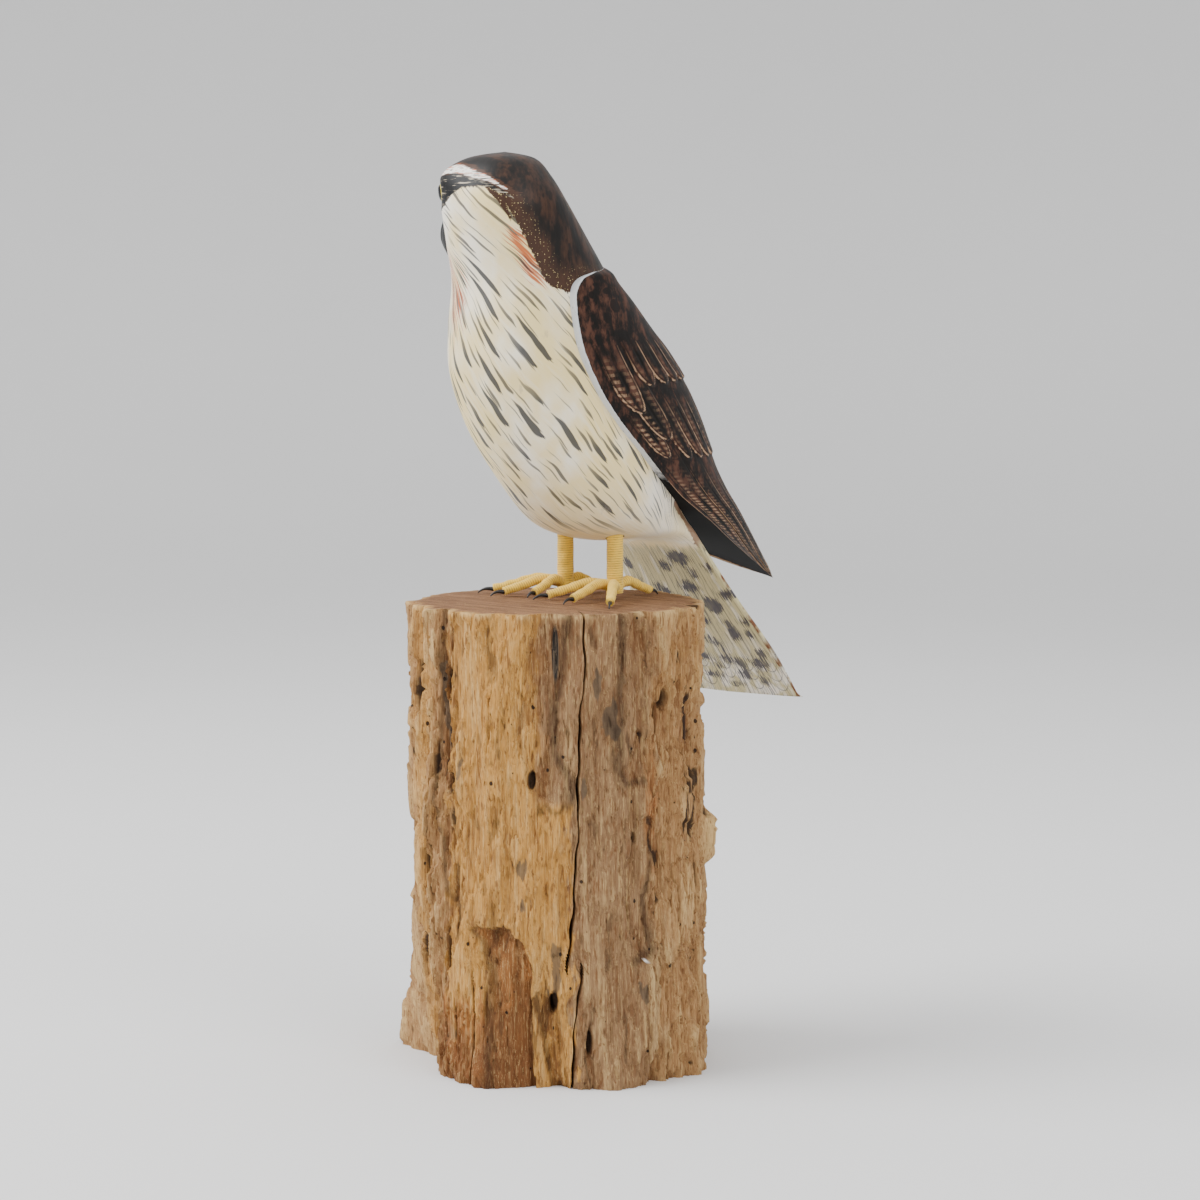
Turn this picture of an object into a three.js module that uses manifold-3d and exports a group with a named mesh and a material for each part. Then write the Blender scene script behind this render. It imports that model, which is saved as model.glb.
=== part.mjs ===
// A carved and painted wooden kestrel, standing on yarn-wrapped legs on a section of weathered log.
// Millimetres, +Z up. The origin is at the middle of the log's flat underside. The bird faces -Y with
// its head turned to -X, and its left side is +X.
import * as THREE from "three";
import { mergeVertices } from "three/addons/utils/BufferGeometryUtils.js";
import Module from "manifold-3d";

const wasm = await Module();
wasm.setup();

// Sizes of the whole
const LOG_HEIGHT = 232;
const LOG_RADIUS = 71;
const BIRD_MIDDLE_X = 3;
const CLEARANCE = 0.3;

// The bird's body from crown to tail end, a ring at each station. Columns: front y and z, back y and z,
// half width, squareness of the ring.
const BODY_STATIONS = [
  [-40, 453.2, -40, 453.2, 0, 2.0],
  [-56, 450.3, -26, 449.9, 15.5, 2.0],
  [-65, 441.5, -18, 441.0, 24, 2.0],
  [-70, 428.0, -9.5, 429.0, 30, 2.0],
  [-66.5, 409.0, 4, 412.0, 32.5, 2.1],
  [-61.5, 390.0, 17, 394.5, 35, 2.2],
  [-64, 369.0, 31, 374.0, 37.5, 2.2],
  [-63.5, 346.0, 46, 352.0, 39.4, 2.2],
  [-52, 319.0, 64, 328.0, 39.4, 2.2],
  [-29.5, 291.5, 78, 307.5, 38, 2.2],
  [-6, 269.5, 81, 293.5, 34.5, 2.2],
  [22, 261.0, 74.5, 282.0, 30.5, 2.2],
  [46, 261, 74.5, 272.5, 30, 2.3],
  [63, 259, 76.5, 265.5, 30, 2.5],
  [75.5, 252.0, 81.5, 255.5, 30.5, 2.8],
  [96.5, 226.0, 101.5, 229.5, 35, 3.0],
  [118.5, 197.5, 122.5, 200.5, 43, 3.0],
  [135, 175.8, 137.5, 177.5, 46, 3.0],
  [136.6, 173.5, 137.8, 174.2, 46, 3.0],
  [137.4, 172.6, 137.4, 172.6, 0, 3.0],
];

// Swellings of the head: middle x, y and z, reach, height. The brows, the face and the nape.
const HEAD_SWELLINGS = [
  [-17, -60, 444.5, 12, 7],
  [-14, -20, 444.5, 12, 7],
  [-28, -36, 424, 16, 2.5],
];
const HEAD_MIDDLE = new THREE.Vector3(3, -40, 428);

// The bill: middle of each ring from the root to the hooked tip, with its half height and half width
const BILL_STATIONS = [
  [-18, -36.5, 421, 8.5, 7.5],
  [-29, -34.5, 421.5, 8, 6.5],
  [-36.3, -33.8, 418.5, 6.4, 5],
  [-40.5, -33.4, 411.5, 4.1, 3.5],
  [-39.4, -33.4, 401.5, 0, 0],
];

// The folded wings, one cap over the back from nape to joined tips. Columns: edge half width, y and z,
// ridge y and z.
const WING_STATIONS = [
  [0, 7, 400.5, 7, 400.5],
  [20, 2, 398.5, 11, 399],
  [33.5, -13, 395.5, 17, 395],
  [37.4, -27, 392, 25.5, 388.5],
  [37.9, -32.3, 385, 38.5, 380],
  [38.9, -32, 372, 52, 369],
  [40.8, -28.5, 356, 65.5, 357],
  [42.2, -17, 337, 78.5, 342],
  [42.6, -1.5, 321, 89, 325.5],
  [42.5, 14.4, 308, 96.5, 309],
  [42, 30.3, 295, 103, 295],
  [40.5, 46, 284, 111.5, 283],
  [38.5, 61.5, 276, 121.5, 272],
  [34, 80, 268, 132.5, 260.5],
  [26, 104, 258, 145.5, 249.5],
  [13, 139, 245, 161.5, 239],
  [0, 177, 230.5, 177, 230.5],
];
const WING_SQUARENESS = 2.5;
const WING_VALLEY_DEPTH = 2.2;
const WING_VALLEY_SPREAD = 0.16;

// Carved feathers in rows down the wing. Angles run round the wing from its edge (0) to the ridge (90).
// Columns: root and tip along the wing, first angle, angle step, how many, half width in degrees.
const FEATHER_ROWS = [
  [0.6, 0.96, 9, 17, 3, 6],
  [0.47, 0.57, 9, 10, 2, 5.5],
  [0.48, 0.605, 30, 14, 4, 7.5],
  [0.42, 0.53, 12, 1, 1, 8],
  [0.36, 0.478, 9, 1, 1, 7.5],
  [0.35, 0.44, 22, 15, 4, 8],
];
const FEATHER_RISE = 1.3;
const FEATHER_ROOT_DEPTH = 1.2;
const FEATHER_SINK = 1.6;
const FEATHER_TIP_ROUNDNESS = 2.5;

// Legs: where each shank stands, and the claw tips of its three front toes and its hind toe
const LEGS = [
  {
    side: "left",
    ankle: [19.8, 23.1],
    toes: { inner: [-5, -11], middle: [21, -18], outer: [52, -20], hind: [24, 52] },
  },
  {
    side: "right",
    ankle: [-13.5, 23.9],
    toes: { inner: [-14, -5], middle: [-33, -11.5], outer: [-50, -2], hind: [-9, 52] },
  },
];
const SHANK_RADIUS = 4.1;
const SHANK_FOOT_Z = 235.2;
const SHANK_TOP_Z = 274;
const TOE_ROOT_RADIUS = 3.0;
const TOE_END_RADIUS = 2.15;
const TOE_HEIGHTS = [5.5, 8.2, 5.2, 2.6];
const TOE_PLACES = [0, 0.3, 0.58, 0.82];
const CLAW_ROOT_RADIUS = 1.15;
const CLAW_TIP_RADIUS = 0.35;
const CLAW_PLACES = [0.84, 0.93, 1];
const CLAW_HEIGHTS = [2.15, 1.95, 0.35];

// Lobes and valleys of the log: angle and half spread in degrees, reach, share kept at the top
const LOG_LOBES = [
  [197, 10, 15, 0.05],
  [228, 14, -15, 0],
  [252, 10, -4, 0.1],
  [286, 12, 8, 0],
  [309, 7, -5, 0.3],
  [338, 14, 8, 0.1],
  [12, 14, 9, 0.1],
  [46, 14, 5, 0.3],
  [85, 14, 6, 0.2],
  [112, 8, -6, 0.3],
  [140, 12, 6, 0.1],
  [170, 8, -7, 0.4],
];
const LOG_RIM = 1.2;
const LOG_FLARE_POWER = 3.2;

// Slow waves in the log's side: how many round it, turn in radians for each millimetre of height, reach
const LOG_WAVES = [
  [7, 0.0244, 0.7],
  [13, -0.0435, 0.56],
];

// Hollows worn into the log: angle, height, half width, half height, depth
const LOG_HOLLOWS = [
  [356, 178, 3, 14, 7],
  [262, 144, 3.5, 8, 5],
  [300, 146, 4, 8, 5],
  [296, 40, 8, 30, 6],
  [304, 26, 4, 22, 8],
  [282, 92, 5, 12, 3],
  [240, 190, 4, 20, 4],
  [243, 60, 4, 26, 5],
  [22, 100, 4, 24, 4],
  [80, 120, 8, 40, 4],
  [150, 150, 9, 30, 4],
];

// A splinter standing off the log, in the same columns
const SPLINTER = [36, 113, 5, 17, 7];

const CRACK = {
  topAngle: 322,
  bottomAngle: 317,
  halfWidth: 0.9,
  depth: 16,
  wander: 0.8,
  wanderTurn: 1.9,
  overrun: 20,
};

// How many faces each form has round it and along it
const BODY_FACES = [28, 36];
const WING_FACES = [24, 26];
const FEATHER_FACES = [6, 5];
const BILL_FACES = [10, 8];
const SHANK_FACES = [14, 1];
const TOE_FACES = [8, 6];
const CLAW_FACES = [6, 3];
const LOG_FACES = [52, 10];
const LUMP_FACES = [8, 5];
const CRACK_FACES = [6, 8];

// Smooth value through a row of numbers, t from 0 to 1
function through(values, t) {
  const scaled = t * (values.length - 1);
  const index = Math.min(Math.floor(scaled), values.length - 2);
  const local = scaled - index;
  const before = values[Math.max(index - 1, 0)];
  const start = values[index];
  const end = values[index + 1];
  const after = values[Math.min(index + 2, values.length - 1)];
  const leaving = (end - before) / 2;
  const arriving = (after - start) / 2;
  const square = local * local;
  const cube = square * local;
  const bend = (3 * (end - start) - 2 * leaving - arriving) * square;
  return start + leaving * local + bend + (2 * (start - end) + leaving + arriving) * cube;
}

function station(table, t) {
  return table[0].map((_, column) => through(table.map((row) => row[column]), t));
}

function power(value, squareness) {
  return Math.sign(value) * Math.abs(value) ** (2 / squareness);
}

function bell(distance, reach) {
  return Math.exp(-((distance / reach) ** 2));
}

function angleApart(a, b) {
  return ((((a - b) % 360) + 540) % 360) - 180;
}

function closed(geometry) {
  geometry.deleteAttribute("normal");
  geometry.deleteAttribute("uv");
  return mergeVertices(geometry, 1e-4);
}

// A closed skin over rings: place(angle, row) gives the point at that angle of that ring. The first and
// the last ring are single points.
function skin([columns, rows], place) {
  const geometry = new THREE.SphereGeometry(1, columns, rows);
  const position = geometry.attributes.position;
  for (let row = 0; row <= rows; row += 1) {
    for (let column = 0; column <= columns; column += 1) {
      const angle = Math.PI + (2 * Math.PI * (column % columns)) / columns;
      const point = place(angle, row);
      position.setXYZ(row * (columns + 1) + column, point.x, point.y, point.z);
    }
  }
  return closed(geometry);
}

// A round tapering rod along a curve, with flat ends
function rod(curve, startRadius, endRadius, [sides, steps], up) {
  return skin([sides, steps + 2], (angle, row) => {
    const along = THREE.MathUtils.clamp((row - 1) / steps, 0, 1);
    const middle = curve.getPoint(along);
    const tangent = curve.getTangent(along);
    const side = new THREE.Vector3().crossVectors(tangent, up).normalize();
    const rise = new THREE.Vector3().crossVectors(side, tangent);
    const ends = row === 0 || row === steps + 2;
    const radius = ends ? 0 : THREE.MathUtils.lerp(startRadius, endRadius, along);
    middle.addScaledVector(side, radius * Math.cos(angle));
    return middle.addScaledVector(rise, radius * Math.sin(angle));
  });
}

function solid(geometry) {
  return new wasm.Manifold(new wasm.Mesh({
    numProp: 3,
    vertProperties: Float32Array.from(geometry.attributes.position.array),
    triVerts: Uint32Array.from(geometry.index.array),
  }));
}

function surface(manifold) {
  const mesh = manifold.getMesh();
  const geometry = new THREE.BufferGeometry();
  geometry.setAttribute("position", new THREE.BufferAttribute(Float32Array.from(mesh.vertProperties), 3));
  geometry.setIndex(Array.from(mesh.triVerts));
  geometry.computeVertexNormals();
  return geometry;
}

function bodyPoint(angle, t) {
  const [frontY, frontZ, backY, backZ, width, squareness] = station(BODY_STATIONS, t);
  const across = power(Math.cos(angle), squareness);
  const back = power(Math.sin(angle), squareness);
  const point = new THREE.Vector3(
    BIRD_MIDDLE_X + width * across,
    (frontY + backY) / 2 + (back * (backY - frontY)) / 2,
    (frontZ + backZ) / 2 + (back * (backZ - frontZ)) / 2,
  );
  const outward = point.clone().sub(HEAD_MIDDLE).setZ(0).normalize();
  const swelling = HEAD_SWELLINGS.reduce((sum, [x, y, z, reach, height]) => (
    sum + height * bell(point.distanceTo(new THREE.Vector3(x, y, z)), reach)
  ), 0);
  return point.addScaledVector(outward, swelling);
}

function billPoint(angle, t) {
  const [x, y, z, halfHeight, halfWidth] = station(BILL_STATIONS, t);
  const ahead = station(BILL_STATIONS, Math.min(t + 0.02, 1));
  const behind = station(BILL_STATIONS, Math.max(t - 0.02, 0));
  const tangent = new THREE.Vector3(ahead[0] - behind[0], 0, ahead[2] - behind[2]).normalize();
  const size = t === 0 ? 0 : 1;
  const across = size * halfWidth * Math.cos(angle);
  const rise = size * halfHeight * Math.sin(angle);
  return new THREE.Vector3(x - tangent.z * rise, y - across, z + tangent.x * rise);
}

function wingPoint(angle, t) {
  const [width, edgeY, edgeZ, ridgeY, ridgeZ] = station(WING_STATIONS, t);
  const rise = Math.max(power(Math.sin(angle), WING_SQUARENESS), 0);
  const across = rise > 0 ? power(Math.cos(angle), WING_SQUARENESS) : Math.cos(angle);
  const depth = Math.hypot(ridgeY - edgeY, ridgeZ - edgeZ);
  const valley = rise > 0 ? WING_VALLEY_DEPTH * bell(Math.cos(angle), WING_VALLEY_SPREAD) : 0;
  const lift = rise * (1 - valley / Math.max(depth, 4 * WING_VALLEY_DEPTH));
  return new THREE.Vector3(
    BIRD_MIDDLE_X + width * across,
    edgeY + lift * (ridgeY - edgeY),
    edgeZ + lift * (ridgeZ - edgeZ),
  );
}

function wingNormal(angle, t) {
  const step = 0.01;
  const around = wingPoint(angle + step, t).sub(wingPoint(angle - step, t));
  const along = wingPoint(angle, t + step).sub(wingPoint(angle, t - step));
  return along.cross(around).normalize();
}

// One carved feather: sunk at its root, standing proud at its round tip
function feather(middleAngle, halfAngle, rootT, tipT) {
  const lastRow = FEATHER_FACES[1];
  return solid(skin(FEATHER_FACES, (angle, row) => {
    const along = row / lastRow;
    const pastMiddle = 2 * Math.max(along - 0.5, 0);
    const halfWidth = halfAngle * Math.sqrt(Math.max(1 - pastMiddle ** FEATHER_TIP_ROUNDNESS, 0));
    const narrow = row === 0 ? 0 : 1;
    const tip = row === lastRow ? 0 : 1;
    const wingAngle = middleAngle - narrow * halfWidth * Math.cos(angle);
    const t = THREE.MathUtils.lerp(rootT, tipT, along);
    const top = THREE.MathUtils.lerp(-FEATHER_ROOT_DEPTH, FEATHER_RISE, Math.sqrt(along));
    const height = Math.sin(angle) > 0 ? top : THREE.MathUtils.lerp(top, -FEATHER_SINK, tip * narrow);
    return wingPoint(wingAngle, t).addScaledVector(wingNormal(wingAngle, t), height);
  }));
}

function carvedWings() {
  let wings = solid(skin(WING_FACES, (angle, row) => wingPoint(angle, row / WING_FACES[1])));
  for (const [rootT, tipT, firstAngle, angleStep, count, halfWidth] of FEATHER_ROWS) {
    for (let index = 0; index < count; index += 1) {
      const angle = THREE.MathUtils.degToRad(firstAngle + index * angleStep);
      const half = THREE.MathUtils.degToRad(halfWidth);
      wings = wings.add(feather(angle, half, rootT, tipT));
      wings = wings.add(feather(Math.PI - angle, half, rootT, tipT));
    }
  }
  return wings;
}

function shank(ankle, radius, bottom, top) {
  const line = new THREE.LineCurve3(new THREE.Vector3(...ankle, bottom), new THREE.Vector3(...ankle, top));
  return solid(rod(line, radius, radius, SHANK_FACES, new THREE.Vector3(0, 1, 0)));
}

// A line from the ankle to a claw's tip, at the given shares of the way and heights over the log
function footLine(ankle, tip, places, heights) {
  return new THREE.CatmullRomCurve3(places.map((place, index) => new THREE.Vector3(
    THREE.MathUtils.lerp(ankle[0], tip[0], place),
    THREE.MathUtils.lerp(ankle[1], tip[1], place),
    LOG_HEIGHT + CLEARANCE + heights[index],
  )));
}

function toeTube(ankle, tip) {
  const line = footLine(ankle, tip, TOE_PLACES, TOE_HEIGHTS);
  return solid(rod(line, TOE_ROOT_RADIUS, TOE_END_RADIUS, TOE_FACES, new THREE.Vector3(0, 0, 1)));
}

function clawGeometry(ankle, tip) {
  const line = footLine(ankle, tip, CLAW_PLACES, CLAW_HEIGHTS);
  return rod(line, CLAW_ROOT_RADIUS, CLAW_TIP_RADIUS, CLAW_FACES, new THREE.Vector3(0, 0, 1));
}

function logRadius(angle, height) {
  const flare = (1 - height / LOG_HEIGHT) ** LOG_FLARE_POWER;
  const lobes = LOG_LOBES.reduce((sum, [middle, spread, reach, kept]) => (
    sum + reach * bell(angleApart(angle, middle), spread) * (kept + (1 - kept) * flare)
  ), 0);
  const turn = THREE.MathUtils.degToRad(angle);
  const waves = LOG_WAVES.reduce((sum, [count, twist, reach]) => (
    sum + reach * Math.sin(count * turn + twist * height)
  ), 0);
  return LOG_RADIUS + lobes + waves;
}

function onLog(angle, height, depth) {
  const turn = THREE.MathUtils.degToRad(angle);
  const radius = logRadius(angle, height) - depth;
  return new THREE.Vector3(radius * Math.cos(turn), radius * Math.sin(turn), height);
}

function logBlank() {
  const lastRow = LOG_FACES[1];
  return solid(skin(LOG_FACES, (angle, row) => {
    const share = THREE.MathUtils.clamp((row - 2) / (lastRow - 3), 0, 1);
    const height = row < 2 ? LOG_HEIGHT : (LOG_HEIGHT - LOG_RIM) * (1 - share);
    if (row === 0 || row === lastRow) return new THREE.Vector3(0, 0, height);
    return onLog(THREE.MathUtils.radToDeg(angle), height, row === 1 ? LOG_RIM : 0);
  }));
}

// A rounded lump lying on the log's side, to cut away or to add
function lump(angle, height, halfWidth, halfHeight, reach) {
  const geometry = new THREE.SphereGeometry(1, ...LUMP_FACES);
  geometry.scale(reach, halfWidth, halfHeight);
  geometry.rotateZ(THREE.MathUtils.degToRad(angle));
  const middle = onLog(angle, height, 0);
  geometry.translate(middle.x, middle.y, middle.z);
  return solid(closed(geometry));
}

function crackCutter() {
  const lastRow = CRACK_FACES[1];
  return solid(skin(CRACK_FACES, (angle, row) => {
    const down = row / lastRow;
    const degrees = THREE.MathUtils.lerp(CRACK.topAngle, CRACK.bottomAngle, down);
    const turn = THREE.MathUtils.degToRad(degrees);
    const outward = new THREE.Vector3(Math.cos(turn), Math.sin(turn), 0);
    const sideways = new THREE.Vector3(-Math.sin(turn), Math.cos(turn), 0);
    const height = THREE.MathUtils.lerp(LOG_HEIGHT + CRACK.overrun, -CRACK.overrun, down);
    const middle = onLog(degrees, THREE.MathUtils.clamp(height, 0, LOG_HEIGHT), 0);
    const inside = row === 0 || row === lastRow ? 0 : 1;
    const depth = inside * CRACK.depth * Math.cos(angle);
    const width = inside * CRACK.halfWidth * Math.sin(angle);
    const wander = CRACK.wander * Math.sin(CRACK.wanderTurn * row);
    return middle.setZ(height).addScaledVector(outward, depth).addScaledVector(sideways, width + wander);
  }));
}

function logBase() {
  let log = logBlank().add(lump(...SPLINTER));
  for (const hollow of LOG_HOLLOWS) {
    log = log.subtract(lump(...hollow));
  }
  return log.subtract(crackCutter());
}

const root = new THREE.Group();

function addPiece(name, geometry, color, roughness) {
  const mesh = new THREE.Mesh(geometry, new THREE.MeshStandardMaterial({ color, roughness, metalness: 0 }));
  mesh.name = name;
  root.add(mesh);
}

function kestrelBody() {
  const torso = solid(skin(BODY_FACES, (angle, row) => bodyPoint(angle, row / BODY_FACES[1])));
  const bill = solid(skin(BILL_FACES, (angle, row) => billPoint(angle, row / BILL_FACES[1])));
  let bird = torso.add(carvedWings()).add(bill);
  for (const { ankle } of LEGS) {
    bird = bird.subtract(shank(ankle, SHANK_RADIUS + CLEARANCE, SHANK_FOOT_Z, SHANK_TOP_Z + CLEARANCE));
  }
  return bird;
}

addPiece("kestrel_body", surface(kestrelBody()), 0xe6dcc0, 0.45);
for (const { side, ankle, toes } of LEGS) {
  let leg = shank(ankle, SHANK_RADIUS, SHANK_FOOT_Z, SHANK_TOP_Z);
  for (const tip of Object.values(toes)) {
    leg = leg.add(toeTube(ankle, tip));
  }
  addPiece(`${side}_leg`, surface(leg), 0xdcb94c, 0.85);
  for (const [toe, tip] of Object.entries(toes)) {
    addPiece(`${side}_${toe}_claw`, clawGeometry(ankle, tip), 0x1d1c1c, 0.4);
  }
}
addPiece("log_base", surface(logBase()), 0xb08c5e, 0.85);

export default root;
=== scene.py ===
"""Looks of a carved and painted wooden kestrel on a weathered log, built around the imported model.

The tables of sizes are in millimetres, as a carver would measure them. Meshes are in metres.
"""

import math

import bmesh
import bpy
import numpy as np
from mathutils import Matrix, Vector, noise

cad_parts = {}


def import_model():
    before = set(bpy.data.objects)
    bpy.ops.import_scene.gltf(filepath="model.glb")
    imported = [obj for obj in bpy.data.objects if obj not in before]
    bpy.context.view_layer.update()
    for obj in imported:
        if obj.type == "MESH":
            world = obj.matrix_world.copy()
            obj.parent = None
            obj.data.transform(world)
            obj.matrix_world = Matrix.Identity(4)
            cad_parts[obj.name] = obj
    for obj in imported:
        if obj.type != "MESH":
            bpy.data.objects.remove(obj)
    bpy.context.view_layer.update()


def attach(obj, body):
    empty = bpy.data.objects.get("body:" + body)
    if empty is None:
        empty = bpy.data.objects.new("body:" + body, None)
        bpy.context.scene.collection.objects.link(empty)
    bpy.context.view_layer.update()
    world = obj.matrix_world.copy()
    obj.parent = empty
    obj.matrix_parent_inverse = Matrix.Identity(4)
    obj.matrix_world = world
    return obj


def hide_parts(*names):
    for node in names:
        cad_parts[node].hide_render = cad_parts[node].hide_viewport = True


bl_info = {
    "name": "Carved kestrel on a log",
    "version": (1, 0, 0),
    "blender": (4, 5, 0),
    "location": "View3D > Sidebar > Kestrel",
    "description": "Models and paints a carved wooden kestrel standing on a weathered log",
    "category": "Object",
}

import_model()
MM = 0.001

# Sizes of the whole
LOG_HEIGHT = 232
LOG_RADIUS = 71
BIRD_MIDDLE_X = 3
CLEARANCE = 0.3

# The bird's body from crown to tail end, a ring at each station. Columns: front y and z, back y and z,
# half width, squareness of the ring.
BODY_STATIONS = [
    [-40, 453.2, -40, 453.2, 0, 2.0],
    [-56, 450.3, -26, 449.9, 15.5, 2.0],
    [-65, 441.5, -18, 441.0, 24, 2.0],
    [-70, 428.0, -9.5, 429.0, 30, 2.0],
    [-66.5, 409.0, 4, 412.0, 32.5, 2.1],
    [-61.5, 390.0, 17, 394.5, 35, 2.2],
    [-64, 369.0, 31, 374.0, 37.5, 2.2],
    [-63.5, 346.0, 46, 352.0, 39.4, 2.2],
    [-52, 319.0, 64, 328.0, 39.4, 2.2],
    [-29.5, 291.5, 78, 307.5, 38, 2.2],
    [-6, 269.5, 81, 293.5, 34.5, 2.2],
    [22, 261.0, 74.5, 282.0, 30.5, 2.2],
    [46, 261.0, 74.5, 272.5, 30, 2.3],
    [63, 259.0, 76.5, 265.5, 30, 2.5],
    [75.5, 252.0, 81.5, 255.5, 30.5, 2.8],
    [96.5, 226.0, 101.5, 229.5, 35, 3.0],
    [118.5, 197.5, 122.5, 200.5, 43, 3.0],
    [135, 175.8, 137.5, 177.5, 46, 3.0],
    [136.6, 173.5, 137.8, 174.2, 46, 3.0],
    [137.4, 172.6, 137.4, 172.6, 0, 3.0],
]
BODY_COLUMNS = 220
BODY_ROWS = 230
HEAD_SHARE = 0.24
HEAD_ROW_SHARE = 0.42

# Swellings of the head, for the brows and the face: middle x, y and z, reach, height
HEAD_SWELLINGS = [
    [-17, -60, 444.5, 12, 7],
    [-14, -20, 444.5, 12, 7],
    [-28, -36, 424, 16, 2.5],
]
HEAD_MIDDLE = np.array([3, -40, 428])
HEAD_FORWARD = np.array([-0.995, 0.0995, 0])

# The eyes, one on each side of the head's own forward direction
NAPE_TURN = 162
EYE_TURN = 47
EYE_OUT = 26.5
EYE_HEIGHT = 433.5
EYE_RADIUS = 4.2
EYE_DOME = 0.5
EYE_SOCKET_DEPTH = 0.9
FAR_FROM_EYES = 60.0
EYE_LINE_START = -12

# The bill: middle of each ring from the root to the hooked tip, with its half height and half width
BILL_STATIONS = [
    [-18, -36.5, 421, 8.5, 7.5],
    [-29, -34.5, 421.5, 8, 6.5],
    [-36.3, -33.8, 418.5, 6.4, 5],
    [-40.5, -33.4, 411.5, 4.1, 3.5],
    [-39.4, -33.4, 401.5, 0, 0],
]
BILL_COLUMNS = 48
BILL_ROWS = 48
BILL_STEP = 0.02
GAPE_DEPTH = 0.7
NOSTRIL_DEPTH = 0.9

# The folded wings, one cap over the back from nape to joined tips. Columns: edge half width, y and z,
# ridge y and z.
WING_STATIONS = [
    [0, 7, 400.5, 7, 400.5],
    [20, 2, 398.5, 11, 399],
    [33.5, -13, 395.5, 17, 395],
    [37.4, -27, 392, 25.5, 388.5],
    [37.9, -32.3, 385, 38.5, 380],
    [38.9, -32, 372, 52, 369],
    [40.8, -28.5, 356, 65.5, 357],
    [42.2, -17, 337, 78.5, 342],
    [42.6, -1.5, 321, 89, 325.5],
    [42.5, 14.4, 308, 96.5, 309],
    [42, 30.3, 295, 103, 295],
    [40.5, 46, 284, 111.5, 283],
    [38.5, 61.5, 276, 121.5, 272],
    [34, 80, 268, 132.5, 260.5],
    [26, 104, 258, 145.5, 249.5],
    [13, 139, 245, 161.5, 239],
    [0, 177, 230.5, 177, 230.5],
]
WING_SQUARENESS = 2.5
WING_VALLEY_DEPTH = 2.2
WING_VALLEY_SPREAD = 0.16
WING_COLUMNS = 240
WING_ARCH_COLUMNS = 226
WING_ROWS = 236
WING_PLAIN_SHARE = 0.32
WING_PLAIN_ROW_SHARE = 0.22
WING_LENGTH = 250
WING_TIP_FADE = 0.06
WING_STEP = 0.004

# Carved feathers in rows down the wing, each row lying over the ones before it. Angles run round the
# wing from its edge (0) to the ridge (90). Columns: root and tip along the wing, first angle, angle
# step, how many, half width in degrees, share of the root end that fades out.
FEATHER_ROWS = [
    [0.54, 0.985, 7, 14, 6, 9.5, 0.1],
    [0.47, 0.585, 6, 10, 1, 6.5, 0.3],
    [0.44, 0.59, 19, 9.5, 8, 6.0, 0.2],
    [0.40, 0.545, 12, 1, 1, 8.0, 0.3],
    [0.33, 0.482, 7.5, 1, 1, 7.5, 0.5],
    [0.33, 0.437, 20, 9.5, 8, 6.2, 0.55],
]
FEATHER_ROUNDNESS = 2.5
FEATHER_EDGE_SOFTNESS = 0.9
FEATHER_SHAFT_DEPTH = 0.35
FEATHER_LEAST_SPREAD = 0.62
FEATHER_TINT_STEP = 0.618
FEATHER_TINT_SHIFT = 0.31
FEATHER_FAR = 10.0
FEATHER_SHOWN = 0.3
FEATHER_GUIDES = ["edge", "side", "way", "tint", "row"]

# Round dark spots near the wing's front edge: across from the edge, along the wing, radius
WING_SPOTS = [
    [14, 51.5, 2.8],
    [13.5, 62, 3.4],
    [26, 57, 4],
    [33, 68, 5],
    [24, 76, 3.5],
]

# Legs: where each shank stands, and the claw tips of its three front toes and its hind toe
LEGS = {
    "left": {
        "ankle": (19.8, 23.1),
        "toes": {"inner": (-5, -11), "middle": (21, -18), "outer": (52, -20), "hind": (24, 52)},
    },
    "right": {
        "ankle": (-13.5, 23.9),
        "toes": {"inner": (-14, -5), "middle": (-33, -11.5), "outer": (-50, -2), "hind": (-9, 52)},
    },
}
SHANK_RADIUS = 3.85
SHANK_FOOT_Z = 235.2
SHANK_TOP_Z = 274
SOCKET_RADIUS = 4.7
SOCKET_BOTTOM_Z = 250
SOCKET_TOP_Z = 276
SOCKET_SIDES = 48
TOE_ROOT_RADIUS = 2.5
TOE_END_RADIUS = 1.75
TOE_HEIGHTS = [5.5, 8.2, 5.2, 2.6]
TOE_PLACES = [0, 0.3, 0.58, 0.82]
CLAW_ROOT_RADIUS = 1.15
CLAW_TIP_RADIUS = 0.3
CLAW_PLACES = [0.82, 0.9, 0.96, 1]
CLAW_HEIGHTS = [2.3, 2.5, 1.7, 0.35]
TOE_COLUMNS = 22
SHANK_COLUMNS = 30
YARN_ROWS_A_WRAP = 5
CLAW_COLUMNS = 16
CLAW_ROWS = 14

# Lobes and valleys of the log: angle and half spread in degrees, reach, share kept at the top
LOG_LOBES = [
    [197, 10, 15, 0.05],
    [228, 14, -15, 0],
    [252, 10, -4, 0.1],
    [286, 12, 8, 0],
    [309, 7, -5, 0.3],
    [338, 14, 8, 0.1],
    [12, 14, 9, 0.1],
    [46, 14, 5, 0.3],
    [85, 14, 6, 0.2],
    [112, 8, -6, 0.3],
    [140, 12, 6, 0.1],
    [170, 8, -7, 0.4],
]
LOG_FLARE_POWER = 3.2
LOG_WAVES = [[7, 0.0244, 0.7], [13, -0.0435, 0.56]]
LOG_COLUMNS = 560
LOG_SIDE_ROWS = 152
LOG_CAP_ROWS = 12
LOG_RIM_ROUNDING = 1.2
LOG_FOOT_ROUNDING = 2.2

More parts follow.
